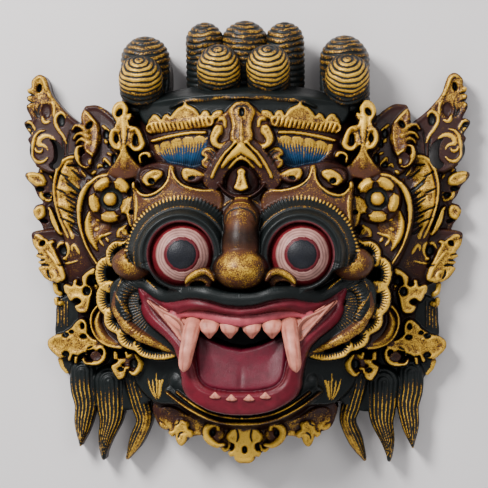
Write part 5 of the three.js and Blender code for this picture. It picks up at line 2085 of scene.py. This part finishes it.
@dataclass
class Studio:
    """The floor, the lights and the camera, which looks down on the lying mask."""

    distance: float = 1.6
    view_width: float = 0.3514
    sensor: float = 36
    aim: tuple = (-0.0011, -0.0018, 0.02)
    sideways: float = 3.5
    floor_size: float = 6
    floor_drop: float = 0.0005
    floor_colour: tuple = (0.78, 0.74, 0.735, 1)
    floor_roughness: float = 0.8
    lamps: tuple = (("key", (-0.70, 0.80, 1.05), 0.45, 36), ("fill", (0.7, 0.5, 1.3), 0.8, 6),
        ("low", (0.1, -1.0, 1.1), 0.9, 3))
    lit: tuple = (0, 0, 0.03)
    sky: tuple = (0.95, 0.97, 1.0, 1)
    sky_strength: float = 0.38

    def build(self) -> None:
        """Builds the floor, lights and camera."""
        deselect()
        bpy.ops.mesh.primitive_plane_add(size=self.floor_size, location=(0, 0, 0))
        floor = bpy.context.object
        floor.name = "floor"
        pale = bpy.data.materials.new("pale_floor")
        pale.use_nodes = True
        shader = pale.node_tree.nodes["Principled BSDF"]
        shader.inputs["Base Color"].default_value = self.floor_colour
        shader.inputs["Roughness"].default_value = self.floor_roughness
        floor.data.materials.append(pale)
        floor.location.z = -self.floor_drop
        for lamp in self.lamps:
            self.light(*lamp)
        world = bpy.data.worlds.new("soft_room")
        world.use_nodes = True
        background = world.node_tree.nodes["Background"]
        background.inputs[0].default_value = self.sky
        background.inputs[1].default_value = self.sky_strength
        bpy.context.scene.world = world
        self.camera()

    def light(self, name: str, place: Point, size: float, power: float) -> None:
        """Adds a square soft light that points at the mask.

        Args:
            name: Its name.
            place: Its place, in metres.
            size: Its side, in metres.
            power: Its power, in watts.
        """
        data = bpy.data.lights.new(name, "AREA")
        data.size, data.energy = size, power
        lamp = bpy.data.objects.new(name, data)
        lamp.location = place
        lamp.rotation_euler = (Vector(self.lit) - Vector(place)).to_track_quat("-Z", "Y").to_euler()
        bpy.context.scene.collection.objects.link(lamp)

    def camera(self) -> None:
        """Adds the camera at the photograph's viewing angle."""
        data = bpy.data.cameras.new("camera")
        data.sensor_width = self.sensor
        data.lens = self.sensor * self.distance / self.view_width
        eye = bpy.data.objects.new("camera", data)
        lean = math.radians(self.sideways)
        eye.location = Vector(self.aim) + Vector((math.sin(lean), 0, math.cos(lean))) * self.distance
        eye.rotation_euler = (0, lean, 0)
        bpy.context.scene.collection.objects.link(eye)
        bpy.context.scene.camera = eye


def main() -> None:
    """Builds the mask and the studio around it."""
    logging.basicConfig(level=logging.INFO, format="%(message)s")
    Studio().build()
    board = Board()
    for part in (Block(), Wing(), Hair(), Crown(), Face(), Mouth()):
        part.carve(board)
        log.info("carved %s", type(part).__name__)
    finish = PaintedWood("old_paint").material()
    Relief().build(board.finished(), finish)
    Buns().build(finish)
    for side, word in SIDES:
        Eye(f"eye_{word}", side).build(finish)
    Teeth().build(finish)
    for piece in bpy.data.objects:
        piece.select_set(False)


if __name__ == "__main__":
    main()
